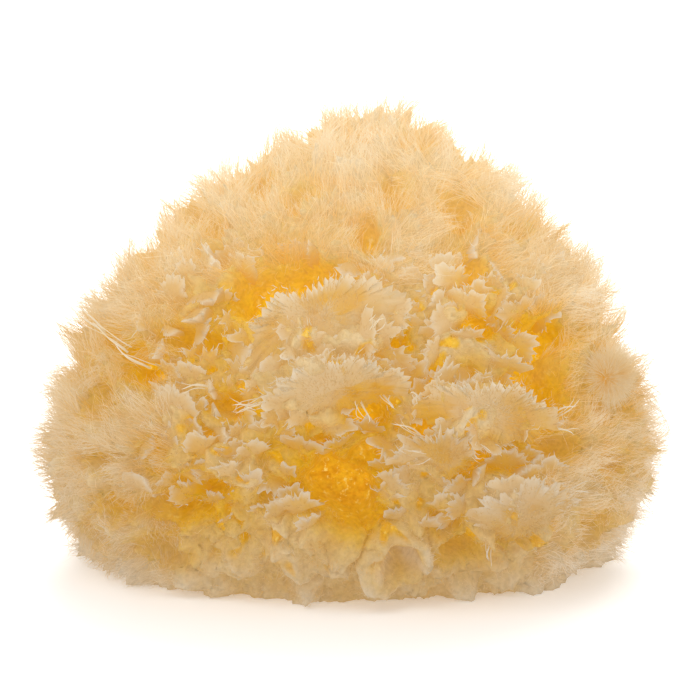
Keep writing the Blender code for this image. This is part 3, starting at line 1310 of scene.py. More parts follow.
@dataclass
class Strands:
    """Fibres as curves, each from its root by a bend to its tip."""

    root: np.ndarray
    bend: np.ndarray
    tip: np.ndarray
    radius: np.ndarray
    tone: np.ndarray
    low: np.ndarray
    high: np.ndarray
    sway: float = 4.5
    paling: float = 0.5

    def mesh(
        self, name: str, segments: int, taper: float, curl: float, rng: np.random.Generator
    ) -> bpy.types.Object:
        """Makes closed three-sided tubes along the curves, drawn to a point at the tip.

        Args:
            name: the piece's name.
            segments: lengths that each fibre is made of.
            taper: how much thinner a fibre is by its tip, as a share of its root.
            curl: how far a fibre sways to the side.
            rng: the seeded source of the sway.

        Returns:
            The piece, with what its finish reads.
        """
        count = len(self.root)
        way = unit(self.tip - self.root)
        side = unit(np.cross(way, rng.normal(size=(count, 3))))
        other = np.cross(way, side)
        phase = rng.uniform(0, 2 * math.pi, count)
        rings = []
        for s in np.linspace(0, 1, segments + 1):
            middle = (1 - s) ** 2 * self.root + 2 * s * (1 - s) * self.bend + s * s * self.tip
            middle = middle + side * (curl * s * np.sin(phase + self.sway * s))[:, None]
            if s == 1:
                rings.append(middle[:, None, :])
                continue
            wide = self.radius * (1 - taper * s)
            for turn in range(3):
                angle = 2 * math.pi * turn / 3
                offset = side * math.cos(angle) + other * math.sin(angle)
                rings.append((middle + offset * wide[:, None])[:, None, :])
        points = np.concatenate(rings, axis=1)
        faces = [(0, 2, 1)]
        for ring in range(segments - 1):
            for turn in range(3):
                a, b = ring * 3 + turn, ring * 3 + (turn + 1) % 3
                faces += [(a, b, b + 3), (a, b + 3, a + 3)]
        last = (segments - 1) * 3
        faces += [(last + turn, last + (turn + 1) % 3, last + 3) for turn in range(3)]
        each = points.shape[1]
        triangles = np.array(faces)[None, :, :] + np.arange(count)[:, None, None] * each
        piece = object_from(name, kept_in(points.reshape(-1, 3)), triangles.reshape(-1, 3))
        steps = np.repeat(np.linspace(0, 1, segments + 1), [3] * segments + [1]) ** self.paling
        paint(piece, "level", (self.low[:, None] + (self.high - self.low)[:, None] * steps).ravel())
        paint(piece, "tone", np.repeat(self.tone, each))
        return piece


@dataclass(frozen=True)
class Tear:
    """How a torn edge runs: teeth of three sizes, one on the other."""

    spans: tuple[float, float, float] = (4.8 * MM, 1.5 * MM, 0.7 * MM)
    depths: tuple[float, float, float] = (1.6 * MM, 1.4 * MM, 1.0 * MM)
    offsets: tuple[float, float, float] = (0.0, 7.0, 14.0)
    bays: float = 1.6
    pointed: float = 4.0
    deepest: float = 1.6

    def profile(self, loop: np.ndarray, offset: float) -> np.ndarray:
        """Draws the edge.

        Args:
            loop: points of a loop as long as the edge.
            offset: which noise is read.

        Returns:
            How far the edge stands out at each point.
        """
        noises = zip(self.spans, self.offsets)
        bay, tooth, nick = (noise_at(loop, span, offset + further) for span, further in noises)
        teeth, nicks = (1 - np.clip(np.abs(cut) * self.pointed, 0, self.deepest) for cut in (tooth, nick))
        return self.depths[0] * self.bays * bay + self.depths[1] * teeth + self.depths[2] * nicks


@dataclass
class Hairs:
    """What grows on a lobe: the ends and necks of its teeth, and the roots and ways of its down."""

    ends: np.ndarray
    necks: np.ndarray
    roots: np.ndarray
    ways: np.ndarray


@dataclass
class Lobe:
    """One lobe: a domed plate that grows out of the skin at its foot and ends above in a torn edge."""

    centre: np.ndarray
    out: np.ndarray
    rise: np.ndarray
    half: np.ndarray
    lift: float
    crown: float
    rings: int
    small: bool
    fine_steps: int = 360
    fewest_columns: int = 14

    def shape(
        self, look: "Lobes", growth: Growth, rng: np.random.Generator
    ) -> tuple[np.ndarray, np.ndarray, np.ndarray, Hairs]:
        """Shapes the lobe.

        Args:
            look: the sizes that the lobe shares with its kind.
            growth: the growth, for its dome.
            rng: the seeded source of its shape.

        Returns:
            Its points, its triangles, the share of cream at each point, and what grows on it.
        """
        level = unit(np.cross(self.rise, self.out))
        rise = np.cross(self.out, level)
        theta, outward, loop = self.edge(look.column)
        free = smooth_step((np.sin(theta) + look.free[0]) / look.free[1])
        size = look.torn if self.small else 1.0
        start = rng.uniform(0, look.noises)
        tear = look.tear.profile(loop, start) * size * (look.ragged + (1 - look.ragged) * free)
        lean = noise_at(loop, look.lean_span, start + look.lean_offset) * look.lean * free
        curl = noise_at(loop, look.curl_span, start + look.curl_offset) * look.curl * size * free
        phases = rng.uniform(0, 2 * math.pi, 3)
        uneven = (part * np.sin(turns * theta + phase) for (part, turns), phase in zip(look.uneven, phases))
        outline = 1 + sum(uneven)

        points, cream = [], []
        for ring in range(1, self.rings + 1):
            r = (ring / self.rings) ** look.ring_power
            torn = smooth_step((r - look.torn_from) / (1 - look.torn_from))
            x = self.half[0] * outline * r * np.cos(theta) + (tear * outward[0] - lean * outward[1]) * torn
            y = self.half[1] * outline * r * np.sin(theta) + (tear * outward[1] + lean * outward[0]) * torn
            spot = self.centre + level * x[:, None] + rise * y[:, None]
            pit = smooth_step((noise_at(spot, look.pit_span, start) - look.pit_sill) / look.pit_rim)
            pit = pit * (1 - torn) * (0 if self.small else 1)
            coarse, fine = (noise_at(spot, *which) for which in zip(look.wave_spans, look.wave_offsets))
            bulge = self.lift + self.crown * (1 - r * r) + (curl + look.flare * tear) * torn
            bulge = bulge + look.wave * size * (coarse + 0.5 * fine)
            bulge = bulge - look.pit * pit - look.foot * size * (1 - free) * r * r
            if not self.small:
                spot = growth.dome.meet(spot - self.out * look.inside, np.broadcast_to(self.out, spot.shape))
            points.append(spot + self.out * bulge[:, None])
            # Painted light: a lobe is creamier up to its free torn edge, like a lit crest, and its pits are
            # golden like deep places.
            share = smooth_step((r * np.sin(theta) + look.fade[0]) / look.fade[1])
            edge = look.cream[0] + look.cream[1] * free * torn**2
            cream.append((share - look.pit_golden * pit) * edge)

        middle = points[0].mean(axis=0)
        back = middle - self.out * look.root * (look.small_root if self.small else 1.0)
        rim = points[-1] - self.out * look.thick
        cream = np.concatenate(cream + [cream[-1], [cream[0].mean(), look.back_cream]])
        peak = (tear >= np.roll(tear, 1)) & (free > look.peaks_above)
        ends, necks = points[-1][peak], points[-2][peak]
        face = np.concatenate(points)
        shed = rng.uniform(0, 1, len(face)) < look.downy
        roots = face[shed] + rng.normal(size=(shed.sum(), 3)) * look.down_strays
        away = unit(roots - face.mean(axis=0))
        ways = self.out * look.down_out + away * look.down_away + rise * look.down_up
        points = np.concatenate([face, rim, middle[None], back[None]])
        return points, self.triangles(len(theta)), cream, Hairs(ends, necks, roots, ways)

    def triangles(self, columns: int) -> np.ndarray:
        """Joins the lobe's rings, its rim, its middle and its back into one closed mesh.

        Args:
            columns: how many points a ring has.

        Returns:
            The triangles, three indices a row.
        """
        here = np.arange(columns)
        there = (here + 1) % columns
        last = self.rings * columns
        middle = last + columns
        faces = [np.stack([here, there, np.full(columns, middle)], 1)]
        for ring in range(self.rings):
            a, b = ring * columns + here, ring * columns + there
            faces.append(np.stack([a, a + columns, b + columns], 1))
            faces.append(np.stack([a, b + columns, b], 1))
        faces.append(np.stack([last + there, last + here, np.full(columns, middle + 1)], 1))
        return np.concatenate(faces)

    def edge(self, column: float) -> tuple[np.ndarray, np.ndarray, np.ndarray]:
        """Steps evenly around the lobe.

        Args:
            column: the length of a step.

        Returns:
            The angle of each step, the outward direction there, and the points of a loop of that length.
        """
        fine = np.linspace(0, 2 * math.pi, self.fine_steps + 1)
        run = np.stack([self.half[0] * np.cos(fine), self.half[1] * np.sin(fine)])
        length = np.concatenate([[0.0], np.cumsum(np.hypot(*np.diff(run, axis=1)))])
        columns = max(self.fewest_columns, round(length[-1] / column))
        theta = np.interp(np.arange(columns) * length[-1] / columns, length, fine)
        outward = np.stack([np.cos(theta) * self.half[1], np.sin(theta) * self.half[0]])
        outward /= np.linalg.norm(outward, axis=0)
        around = np.arange(columns) * 2 * math.pi / columns
        radius = length[-1] / (2 * math.pi)
        loop = np.stack([radius * np.cos(around), radius * np.sin(around), np.zeros(columns)], axis=1)
        return theta, outward, loop


@dataclass
class Lobes:
    """Soft lobes that overlap like the sponge's torn layers, with threads drawn out of their edges."""

    name: str
    spacing: float = 0.0
    half: tuple[float, float] = (1.8 * MM, 4.2 * MM)
    rings: int = 8
    furred: tuple[float, float] = (-0.1, 0.6)
    column: float = 0.5 * MM
    uneven: tuple[tuple[float, int], ...] = ((0.10, 2), (0.09, 3), (0.06, 5))
    free: tuple[float, float] = (0.6, 0.9)
    ring_power: float = 0.8
    fade: tuple[float, float] = (0.9, 1.8)
    cream: tuple[float, float] = (0.26, 0.68)
    back_cream: float = 0.3
    tear: Tear = field(default_factory=Tear)
    torn: float = 0.65
    torn_from: float = 0.5
    ragged: float = 0.55
    noises: float = 90.0
    lean: float = 1.0 * MM
    lean_span: float = 2.0 * MM
    lean_offset: float = 40.0
    curl: float = 1.6 * MM
    curl_span: float = 3.0 * MM
    curl_offset: float = 60.0
    flare: float = 0.35
    wave: float = 1.6 * MM
    wave_spans: tuple[float, float] = (5.0 * MM, 2.0 * MM)
    wave_offsets: tuple[float, float] = (3.0, 6.0)
    pit: float = 1.6 * MM
    pit_span: float = 3.4 * MM
    pit_sill: float = 0.12
    pit_rim: float = 0.3
    pit_golden: float = 0.75
    foot: float = 7.0 * MM
    root: float = 8.0 * MM
    small_root: float = 0.6
    inside: float = 30.0 * MM
    thick: float = 0.25 * MM
    cover: tuple[float, float] = (1.0, 0.9)
    lift: float = 3.0 * MM
    crown: float = 1.6 * MM
    small_lift: float = 0.1 * MM
    small_crown: float = 0.4
    small_rise: float = 0.3
    small_shape: tuple[float, float] = (1.2, 0.9)
    tilt: float = 0.12
    roll: float = 0.1
    upward: float = 0.8
    off_rim: float = 1.5
    wander: float = 0.5
    stands: tuple[float, float] = (0.05, 0.5)
    hanging: float = 0.3
    upright: tuple[float, float] = (-0.25, 0.25)
    warmest: float = 0.58
    deepest: float = 0.2
    farthest_back: float = 0.3
    underneath: float = -0.2
    above_floor: float = 3.0 * MM
    beside: float = 4.0
    lowest: float = 5.0
    smallest_out: float = 5.0
    proud: float = 1.0 * MM
    palest: float = 0.92
    grain: float = 0.15 * MM
    thread: float = 0.1 * MM
    threads: tuple[float, float] = (0.5 * MM, 2.4 * MM)
    threaded: float = 0.5
    thread_root: float = 0.5 * MM
    thread_bend: float = 0.25
    thread_curl: float = 0.5 * MM
    thread_varied: tuple[float, float] = (0.7, 1.4)
    thread_pale: tuple[float, float] = (0.1, 0.05)
    peaks_above: float = 0.3
    hair_taper: float = 0.6
    hair_wander: float = 0.5
    downy: float = 0.4
    down: tuple[float, float] = (0.6 * MM, 1.7 * MM)
    down_root: float = 0.3 * MM
    down_strays: float = 0.3 * MM
    down_low: tuple[float, float] = (0.6, 0.2)
    down_high: tuple[float, float] = (0.4, 0.5)
    down_out: float = 0.7
    down_away: float = 0.6
    down_up: float = 0.4

    def on_flaps(self, growth: Growth, rng: np.random.Generator) -> list[Lobe]:
        """Makes one lobe for each large flap of the front.

        Args:
            growth: the growth, for its dome and for where the fur is.
            rng: the seeded source of how the lobes tilt.

        Returns:
            The lobes.
        """
        lobes = []
        for flap in FLAPS:
            centre = growth.dome.on_front(flap.across, flap.up)[None, :]
            out = growth.dome.normals(centre)
            gaps = (math.hypot(c.across - flap.across, c.up - flap.up) for c in CANALS)
            if min(gaps) < self.beside or flap.up < self.lowest:
                continue
            if growth.furred(centre, out)[0] > self.furred[1]:
                continue
            out = unit(out + rng.normal(size=(1, 3)) * self.tilt)[0]
            turn = math.radians(flap.turn)
            upward = np.array([-math.sin(turn), 0.0, math.cos(turn)])
            rise = unit(upward + rng.normal(size=3) * self.roll)
            if flap.out < self.smallest_out:
                continue
            half = np.array([flap.wide, flap.high]) * MM * np.array(self.cover)
            lift = flap.out * MM - growth.tuft_length + self.lift
            lobes.append(Lobe(centre[0], out, rise, half, lift, self.crown, self.rings, False))
        return lobes

    def on_skin(self, surface: Surface, growth: Growth, rng: np.random.Generator) -> list[Lobe]:
        """Makes small lobes on the tufts between the flaps.

        Args:
            surface: the skin.
            growth: the growth, for where the fur is.
            rng: the seeded source of where they stand and how.

        Returns:
            The lobes.
        """
        furred = growth.furred(surface.dome_points, surface.normals)
        mine = (furred > self.furred[0]) & (furred < self.furred[1])
        mine &= (surface.normals[:, 1] < self.farthest_back) & (surface.normals[:, 2] > self.underneath)
        mine &= (surface.hollow < self.deepest) & (surface.warm < self.warmest)
        mine &= (surface.points[:, 2] > self.above_floor) & (surface.apart > 0)
        mine = np.flatnonzero(mine)
        lobes = []
        for spot in mine[scatter(surface.points[mine], self.spacing, rng)]:
            out = surface.normals[spot]
            up = UP * self.upward + self.off_rim * surface.rim[spot] * surface.rim_way[spot]
            up = unit(up + rng.normal(size=3) * self.wander)
            along = unit(up - out * (up @ out))
            upright = smooth_step((out[2] - self.upright[0]) / (self.upright[1] - self.upright[0]))
            stand = rng.uniform(*self.stands) * (self.hanging + (1 - self.hanging) * upright)
            rise = unit(along + out * stand)
            face = unit(out - along * stand)
            half = rng.uniform(*self.half) * rng.uniform(*VARIED, 2) * np.array(self.small_shape)
            centre = surface.points[spot] + along * half[1] * self.small_rise
            crown = self.small_crown * self.crown
            lobes.append(Lobe(centre, face, rise, half, self.small_lift, crown, self.rings, True))
        return lobes

    def build(self, surface: Surface, growth: Growth, rng: np.random.Generator) -> bpy.types.Object:
        """Grows the lobes, with their threads and down.

        Args:
            surface: the skin that they grow on.
            growth: the growth, for the dome and for where the fur is.
            rng: the seeded source of their shapes.

        Returns:
            The piece of the lobes alone.
        """
        lobes = self.on_skin(surface, growth, rng) if self.spacing else self.on_flaps(growth, rng)
        points, triangles, levels, tones, hairs = [], [], [], [], []
        total = 0
        for lobe in lobes:
            spots, faces, cream, grown = lobe.shape(self, growth, rng)
            if not lobe.small:
                spots = spots - surface.shift
                grown.ends = grown.ends - surface.shift
                grown.necks = grown.necks - surface.shift
                grown.roots = grown.roots - surface.shift
            skin = surface.level_at(spots)
            points.append(spots)
            triangles.append(faces + total)
            levels.append(skin + (self.palest - skin) * cream)
            tones.append(np.full(len(spots), rng.uniform(0, 1)))
            hairs.append(grown)
            total += len(spots)
        spots = growth.tucked(np.concatenate(points), surface.shift, self.proud)
        piece = object_from(self.name, spots, np.concatenate(triangles))
        paint(piece, "level", np.concatenate(levels))
        paint(piece, "tone", np.concatenate(tones))
        finish = FibreFinish(self.name + "_fibre", grain=self.grain).make()
        dress(piece, finish)
        self.draw_threads(hairs, finish, rng)
        self.grow_down(hairs, surface, finish, rng)
        return piece

    def draw_threads(
        self, hairs: list[Hairs], finish: bpy.types.Material, rng: np.random.Generator
    ) -> None:
        """Draws some teeth of the torn edges out into fine threads.

        Args:
            hairs: what grows on each lobe.
            finish: the material of the lobes.
            rng: the seeded source of the threads' shapes.
        """
        ends = np.concatenate([each.ends for each in hairs])
        necks = np.concatenate([each.necks for each in hairs])
        some = rng.uniform(0, 1, len(ends)) < self.threaded
        ends, necks = ends[some], necks[some]
        count = len(ends)
        shortest, longest = self.threads
        length = rng.uniform(0, 1, (count, 1)) ** 2 * (longest - shortest) + shortest
        ahead = unit(ends - necks)
        tip = ends + unit(ahead + rng.normal(size=(count, 3)) * self.hair_wander) * length
        strands = Strands(
            root=ends - ahead * self.thread_root,
            bend=(ends + tip) / 2 + rng.normal(size=(count, 3)) * length * self.thread_bend,
            tip=tip,
            radius=self.thread * rng.uniform(*self.thread_varied, count),
            tone=rng.uniform(0, 1, count),
            low=np.full(count, self.palest - self.thread_pale[0]),
            high=np.full(count, self.palest + self.thread_pale[1]),
        )
        dress(strands.mesh(self.name + "_threads", 2, self.hair_taper, self.thread_curl, rng), finish)

    def grow_down(
        self, hairs: list[Hairs], surface: Surface, finish: bpy.types.Material, rng: np.random.Generator
    ) -> None:
        """Grows short down on the faces of the lobes.

        Args:
            hairs: what grows on each lobe.
            surface: the skin, for its colour.
            finish: the material of the lobes.
            rng: the seeded source of the down's shapes.
        """
        root = np.concatenate([each.roots for each in hairs])
        way = np.concatenate([each.ways for each in hairs])
        count = len(root)
        length = rng.uniform(*self.down, (count, 1))
        tip = root + unit(way + rng.normal(size=root.shape) * self.hair_wander) * length
        level = surface.level_at(root)
        root = root - unit(way) * self.down_root
        strands = Strands(
            root=root,
            bend=(root + tip) / 2,
            tip=tip,
            radius=self.thread * rng.uniform(*VARIED, count),
            tone=rng.uniform(0, 1, count),
            low=self.down_low[0] * level + self.down_low[1],
            high=self.down_high[0] * level + self.down_high[1],
        )
        dress(strands.mesh(self.name + "_down", 1, self.hair_taper, 0.0, rng), finish)


@dataclass
class Coat:
    """A coat of fibres that grow in locks on one region of the sponge."""

    name: str
    region: Region
    lock_spacing: float
    fibres: int
    length: tuple[float, float]
    radius: float = 0.072 * MM
    gathered: float = 0.7
    upward: float = 0.3
    wander: float = 0.45
    patchy: float = 0.7
    patch_span: float = 10.0 * MM
    patch_offset: float = 19.0
    combed: float = 1.3
    comb_span: float = 13.0 * MM
    comb_offsets: tuple[float, float, float] = (25.0, 33.0, 41.0)
    loose: float = 0.8 * MM
    uneven: tuple[float, float] = (0.5, 1.1)
    rooted: float = 0.4 * MM
    root_strays: float = 0.15 * MM
    bowed: float = 0.15
    bend_strays: float = 0.10
    segments: int = 2
    taper: float = 0.75
    curl: float = 0.9 * MM
    golden: float = 0.35
    palest: float = 1.0
    cropped: float = 0.6
    glow: float = 0.6
    dyed: float = 0.22
    proud: tuple[float, float] = (-2.0 * MM, 2.8 * MM)
    furry: float = 0.3
    behind: float = 0.1
    crown_from: float = 66.0
    above_floor: float = 1.0 * MM
    deepest: float = 0.3
    warmest: float = 0.8
    past_edge: float = 0.9 * MM

    def covers(self, surface: Surface, growth: Growth) -> np.ndarray:
        """Finds the coat's region.

        Args:
            surface: the skin.
            growth: the growth, for where the fur is.

        Returns:
            For each point of the skin whether the coat grows there.
        """
        across, up = growth.dome.in_view(surface.dome_points)
        furred = growth.furred(surface.dome_points, surface.normals) > self.furry
        behind = surface.normals[:, 1] > self.behind
        crown = ~behind & (up > self.crown_from)
        left = ~crown & ~behind & (across < 0)
        right = ~crown & ~behind & (across >= 0)
        masks = {
            Region.CROWN: crown & furred,
            Region.LEFT: left & furred,
            Region.RIGHT: right & furred,
            Region.BACK: behind & furred,
            Region.FRONT: ~(behind | furred),
            Region.ALL: furred,
        }
        open_skin = (surface.hollow < self.deepest) & (surface.warm < self.warmest)
        open_skin &= (surface.apart > -self.past_edge) & (surface.points[:, 2] > self.above_floor)
        return masks[self.region] & open_skin

    def build(self, surface: Surface, growth: Growth, rng: np.random.Generator) -> bpy.types.Object:
        """Grows the coat.

        Args:
            surface: the skin that it grows on.
            growth: the growth, for where the fur is.
            rng: the seeded source of its locks.

        Returns:
            The piece.
        """
        mine = np.flatnonzero(self.covers(surface, growth))
        points, normals, warm = surface.points[mine], surface.normals[mine], surface.warm[mine]
        tree = tree_of(points)
        locks = scatter(points, self.lock_spacing, rng)
        lengths = growth.pile(surface.dome_points[mine][locks]) * (1 - self.cropped * warm[locks])
        lengths = lengths * (1 + self.patchy * noise_at(points[locks], self.patch_span, self.patch_offset))
        combing = [noise_at(points[locks], self.comb_span, offset) for offset in self.comb_offsets]
        leans = normals[locks] + UP * self.upward + self.combed * np.array(combing).T
        share = max(1, round(self.fibres / len(locks)))
        roots, targets, centres, hues = [], [], [], []
        for lock, long, lean in zip(locks, lengths, leans):
            axis = unit(lean + rng.normal(size=3) * self.wander)
            around = near(tree, points[lock], self.lock_spacing)
            roots.append(rng.choice(around, size=share, replace=len(around) < share))
            target = points[lock] + axis * rng.uniform(*self.length) * long
            targets.append(np.repeat(target[None, :], share, axis=0))
            centres.append(np.repeat(points[lock][None, :], share, axis=0))
            hues.append(np.full(share, rng.uniform(0, 1) ** 2))

        index = np.concatenate(roots)
        target, centre = np.concatenate(targets), np.concatenate(centres)
        count = len(index)
        strays = rng.normal(size=(count, 3)) * self.root_strays
        root = points[index] - normals[index] * self.rooted + strays
        tip = target + (root - centre) * self.gathered + rng.normal(size=(count, 3)) * self.loose
        tip = root + (tip - root) * rng.uniform(*self.uneven, (count, 1))
        lift = np.linalg.norm(tip - root, axis=1, keepdims=True)
        strays = rng.normal(size=(count, 3)) * lift * self.bend_strays
        bend = (root + tip) / 2 + normals[index] * lift * self.bowed + strays
        proud = rng.uniform(*self.proud, count)
        radius = self.radius * rng.uniform(*VARIED, count)
        dyed = self.dyed * np.concatenate(hues)
        # Fibre tips beside the canals' painted glow stay golden.
        strands = Strands(
            root=root,
            bend=growth.tucked(bend, surface.shift, proud),
            tip=growth.tucked(tip, surface.shift, proud),
            radius=radius,
            tone=rng.uniform(0, 1, count),
            low=surface.level[mine][index] - dyed,
            high=self.palest - self.golden * warm[index] - dyed,
        )
        piece = strands.mesh(self.name, self.segments, self.taper, self.curl, rng)
        dress(piece, FibreFinish(self.name + "_fibre", glow=self.glow).make())
        return piece


@dataclass
class Whorl:
    """The round tuft at the right, whose fibres spread like a star from its middle."""

    name: str = "whorl"
    lift: float = -4.0 * MM
    fibres: int = 2000
    opening: tuple[float, float] = (0.3, 1.75)
    reach: tuple[float, float] = (0.75, 1.05)
    strays: float = 0.4 * MM
    eye: float = 0.6 * MM
    bowed: float = 1.2 * MM
    thin: float = 0.075 * MM
    segments: int = 2
    taper: float = 0.6
    curl: float = 0.3 * MM
    palest: float = 0.86
    glow: float = 0.56

    def build(self, surface: Surface, growth: Growth, rng: np.random.Generator) -> bpy.types.Object:
        """Grows the tuft on the skin.

        Args:
            surface: the skin.
            growth: the growth, for its dome.
            rng: the seeded source of the fibres.

        Returns:
            The piece.
        """
        spot = growth.dome.on_front(*WHORL_AT)[None, :]
        out = growth.dome.normals(spot)[0]
        centre = spot[0] - surface.shift + out * self.lift
        level = unit(np.cross(UP, out))
        rise = np.cross(out, level)
        turn = rng.uniform(0, 2 * math.pi, self.fibres)[:, None]
        away = level * np.cos(turn) + rise * np.sin(turn)
        open_by = rng.uniform(*self.opening, (self.fibres, 1))
        long = WHORL_RADIUS * rng.uniform(*self.reach, (self.fibres, 1))
        tip = centre + (away * np.sin(open_by) + out * np.cos(open_by)) * long
        tip = tip + rng.normal(size=tip.shape) * self.strays
        root = centre + away * self.eye * np.sin(open_by)
        strands = Strands(
            root=root,
            bend=(root + tip) / 2 + out * self.bowed,
            tip=tip,
            radius=self.thin * rng.uniform(*VARIED, self.fibres),
            tone=rng.uniform(0, 1, self.fibres),
            low=np.zeros(self.fibres),
            high=np.full(self.fibres, self.palest),
        )
        piece = strands.mesh(self.name, self.segments, self.taper, self.curl, rng)
        dress(piece, FibreFinish(self.name + "_fibre", glow=self.glow).make())
        return piece


@dataclass(frozen=True)
class Curl:
    """A thick torn thread: across and up of its root and of its tip, in mm."""

    root: tuple[float, float]
    tip: tuple[float, float]


@dataclass
class Curls:
    """The thick curly threads that hang on the front, each with finer ones beside it."""

    name: str = "curls"
    each: int = 3
    radius: float = 0.32 * MM
    finer: tuple[float, float] = (0.4, 0.7)
    root_out: float = -1.5 * MM
    tip_out: float = 3.0 * MM
    root_strays: float = 0.8 * MM
    tip_strays: float = 1.1 * MM
    bend_strays: float = 1.1 * MM
    segments: int = 6
    taper: float = 0.7
    curl: float = 0.8 * MM
    dimmest: float = 0.7
    grain: float = 0.1 * MM

    def places(
        self, ends: list[tuple[float, float]], out: float, surface: Surface, growth: Growth
    ) -> np.ndarray:
        """Finds where one end of each thread lies.

        Args:
            ends: the ends in the tilted view, in mm.
            out: how far out of the dome they stand.
            surface: the skin, for how it was moved.
            growth: the growth, for its dome.

        Returns:
            The place of each thread's end.
        """
        spots = np.array([growth.dome.on_front(*end) for end in ends])
        spots = spots + growth.dome.normals(spots) * out - surface.shift
        return np.repeat(spots, self.each, axis=0)

    def build(self, surface: Surface, growth: Growth, rng: np.random.Generator) -> bpy.types.Object:
        """Hangs the threads on the skin.

        Args:
            surface: the skin.
            growth: the growth, for its dome.
            rng: the seeded source of how they curl.

        Returns:
            The piece.
        """
        count = len(CURLS) * self.each
        root = self.places([curl.root for curl in CURLS], self.root_out, surface, growth)
        tip = self.places([curl.tip for curl in CURLS], self.tip_out, surface, growth)
        first = np.arange(count) % self.each == 0
        beside = np.where(first, 0.0, 1.0)[:, None]
        root = root + rng.normal(size=root.shape) * beside * self.root_strays
        tip = tip + rng.normal(size=tip.shape) * beside * self.tip_strays
        strands = Strands(
            root=root,
            bend=(root + tip) / 2 + rng.normal(size=root.shape) * self.bend_strays,
            tip=tip,
            radius=self.radius * np.where(first, 1.0, rng.uniform(*self.finer, count)),
            tone=np.ones(count),
            low=np.full(count, self.dimmest),
            high=np.ones(count),
        )
        piece = strands.mesh(self.name, self.segments, self.taper, self.curl, rng)
        dress(piece, FibreFinish(self.name + "_fibre", grain=self.grain).make())
        return piece


CURLS = (
    Curl((-20.6, 37.8), (-25.3, 37.0)),
    Curl((-18.5, 38.4), (-24.4, 34.4)),
    Curl((-31.7, 41.3), (-36.6, 40.4)),
    Curl((2.8, 38.2), (4.5, 33.0)),
    Curl((17.3, 29.4), (9.7, 33.5)),
    Curl((8.0, 39.4), (10.6, 36.3)),
    Curl((20.6, 25.7), (13.5, 26.8)),
    Curl((3.8, 54.0), (5.9, 57.2)),
    Curl((5.2, 53.6), (7.6, 56.0)),
    Curl((16.6, 38.0), (13.4, 39.6)),
    Curl((46.8, 35.1), (50.4, 37.0)),
    Curl((46.1, 32.0), (49.6, 30.0)),
    Curl((28.4, 28.5), (29.4, 25.0)),
    Curl((33.1, 7.2), (31.0, 3.2)),
    Curl((50.2, 16.7), (53.4, 18.2)),
    Curl((-45.5, 45.6), (-51.5, 49.8)),
    Curl((-51.0, 49.4), (-57.0, 54.0)),
    Curl((-56.5, 53.6), (-62.7, 58.1)),
)

WOOL_LENGTH = (7.5 * MM, 13.5 * MM)

COATS = (
    Coat("crown_wool", Region.CROWN, 3.2 * MM, 10500, WOOL_LENGTH, palest=0.88),
    Coat("left_wool", Region.LEFT, 3.2 * MM, 9500, WOOL_LENGTH, palest=0.95),
    Coat("right_wool", Region.RIGHT, 3.2 * MM, 7500, WOOL_LENGTH, palest=1.04, dyed=0.14, glow=0.66),
    Coat("back_wool", Region.BACK, 3.6 * MM, 8000, (5.0 * MM, 9.5 * MM), 0.09 * MM),
    Coat(
        "wisps",
        Region.ALL,
        4.5 * MM,
        5500,
        (10.0 * MM, 15.0 * MM),
        0.042 * MM,
        wander=0.4,
        loose=2.0 * MM,
        segments=3,
        curl=1.3 * MM,
        glow=0.75,
        proud=(0.0, 4.0 * MM),
    ),
    Coat(
        "front_down",
        Region.FRONT,
        2.6 * MM,
        16000,
        (0.8 * MM, 2.2 * MM),
        0.1 * MM,
        segments=1,
        curl=0.0,
        palest=0.8,
    ),
)

LOBES = (
    Lobes("great_lobes", rings=10, column=0.34 * MM),
    Lobes(
        "small_lobes",
        spacing=4.6 * MM,
        half=(1.5 * MM, 3.8 * MM),
        rings=5,
        column=0.42 * MM,
        downy=0.2,
    ),
    Lobes(
        "outer_lobes",
        spacing=6.0 * MM,
        half=(1.4 * MM, 3.0 * MM),
        rings=3,
        furred=(0.6, 0.98),
        downy=0.3,
    ),
)


@dataclass(frozen=True)
class Lamp:
    """A soft square lamp: where it hangs, how wide it is, and its power and colour."""

    name: str
    place: tuple[float, float, float]
    size: float
    power: float
    colour: tuple[float, float, float]


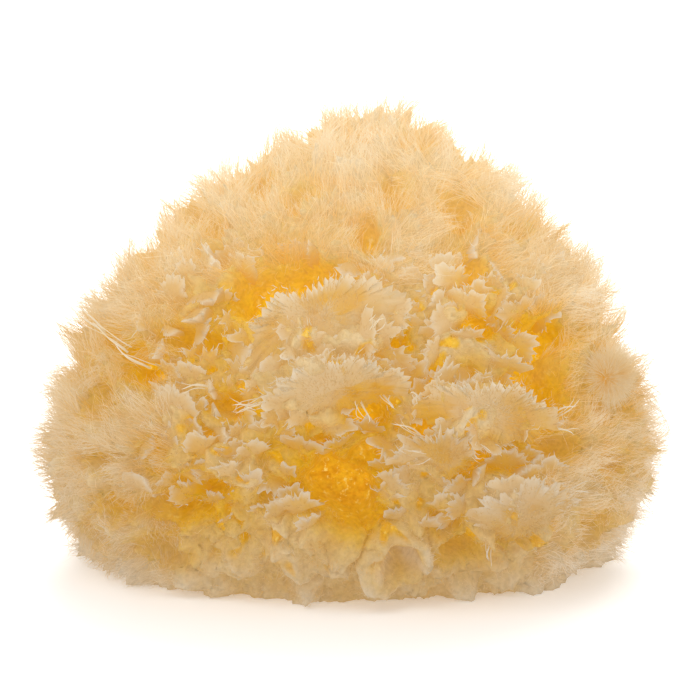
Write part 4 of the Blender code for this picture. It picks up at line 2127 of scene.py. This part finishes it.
@dataclass
class Studio:
    """A pale floor, soft light and the camera at the photograph's angle."""

    tilt: float = math.radians(12.0)
    aim_height: float = 50.9 * MM
    frame_width: float = 165.6 * MM
    lens: float = 200.0
    sensor: float = 36.0
    floor_half: float = 3.0
    floor_white: Colour = (0.92, 0.92, 0.92, 1.0)
    floor_glow: float = 0.2
    floor_rough: float = 0.6
    room_light: float = 0.85
    bounces: int = 5
    lamps: tuple[Lamp, ...] = (
        Lamp("back_light", (0.15, 0.75, 0.75), 0.9, 10.0, (1.0, 0.97, 0.92)),
        Lamp("key_light", (-0.5, -0.6, 1.05), 0.9, 4.0, (1.0, 0.98, 0.95)),
    )

    def build(self) -> None:
        """Builds the stage."""
        self.camera()
        self.floor()
        self.world()
        for lamp in self.lamps:
            self.hang(lamp)

    def camera(self) -> None:
        """Places the camera far off with a long lens, as the photograph was taken."""
        data = bpy.data.cameras.new("camera")
        data.lens = self.lens
        data.sensor_width = self.sensor
        data.clip_end = 20.0
        away = self.frame_width / 2 / (self.sensor / 2 / self.lens)
        camera = bpy.data.objects.new("camera", data)
        back = Vector((0.0, -math.cos(self.tilt), math.sin(self.tilt)))
        camera.location = Vector((0.0, 0.0, self.aim_height)) + back * away
        camera.rotation_euler = (math.pi / 2 - self.tilt, 0.0, 0.0)
        bpy.context.scene.collection.objects.link(camera)
        bpy.context.scene.camera = camera

    def floor(self) -> None:
        """Lays the pale floor."""
        half = self.floor_half
        corners = np.array([(-half, -half, 0), (half, -half, 0), (half, half, 0), (-half, half, 0)])
        floor = object_from("floor", corners, np.array([(0, 1, 2), (0, 2, 3)]))
        board = NodeBoard("floor_white")
        board.shader.inputs["Base Color"].default_value = self.floor_white
        board.shader.inputs["Roughness"].default_value = self.floor_rough
        board.shader.inputs["Emission Color"].default_value = (1.0, 1.0, 1.0, 1.0)
        board.shader.inputs["Emission Strength"].default_value = self.floor_glow
        floor.data.materials.append(board.material)

    def world(self) -> None:
        """Fills the room with even white light."""
        world = bpy.data.worlds.new("room")
        world.use_nodes = True
        background = world.node_tree.nodes["Background"]
        background.inputs["Color"].default_value = (1.0, 1.0, 1.0, 1.0)
        background.inputs["Strength"].default_value = self.room_light
        bpy.context.scene.world = world
        bpy.context.scene.view_settings.view_transform = "Standard"
        bpy.context.scene.cycles.diffuse_bounces = self.bounces

    def hang(self, lamp: Lamp) -> None:
        """Hangs a lamp so that it shines on the sponge.

        Args:
            lamp: the lamp.
        """
        data = bpy.data.lights.new(lamp.name, "AREA")
        data.size = lamp.size
        data.energy = lamp.power
        data.color = lamp.colour
        light = bpy.data.objects.new(lamp.name, data)
        light.location = lamp.place
        aim = Vector((0.0, 0.0, self.aim_height)) - Vector(lamp.place)
        light.rotation_euler = aim.to_track_quat("-Z", "Y").to_euler()
        bpy.context.scene.collection.objects.link(light)


def main() -> None:
    """Builds the sponge, its coats and the studio."""
    logging.basicConfig(level=logging.INFO, format="%(message)s")
    growth = Growth()
    growth.plan(np.random.default_rng(SEED))
    rng = np.random.default_rng(SEED + 1)
    body, surface = SpongeBody(growth).build(rng)
    LOG.info("%s: %d triangles", body.name, len(body.data.polygons))
    for layer in (*LOBES, Whorl(), Curls(), *COATS):
        piece = layer.build(surface, growth, rng)
        LOG.info("%s: %d triangles", piece.name, len(piece.data.polygons))
    Studio().build()


if __name__ == "__main__":
    main()
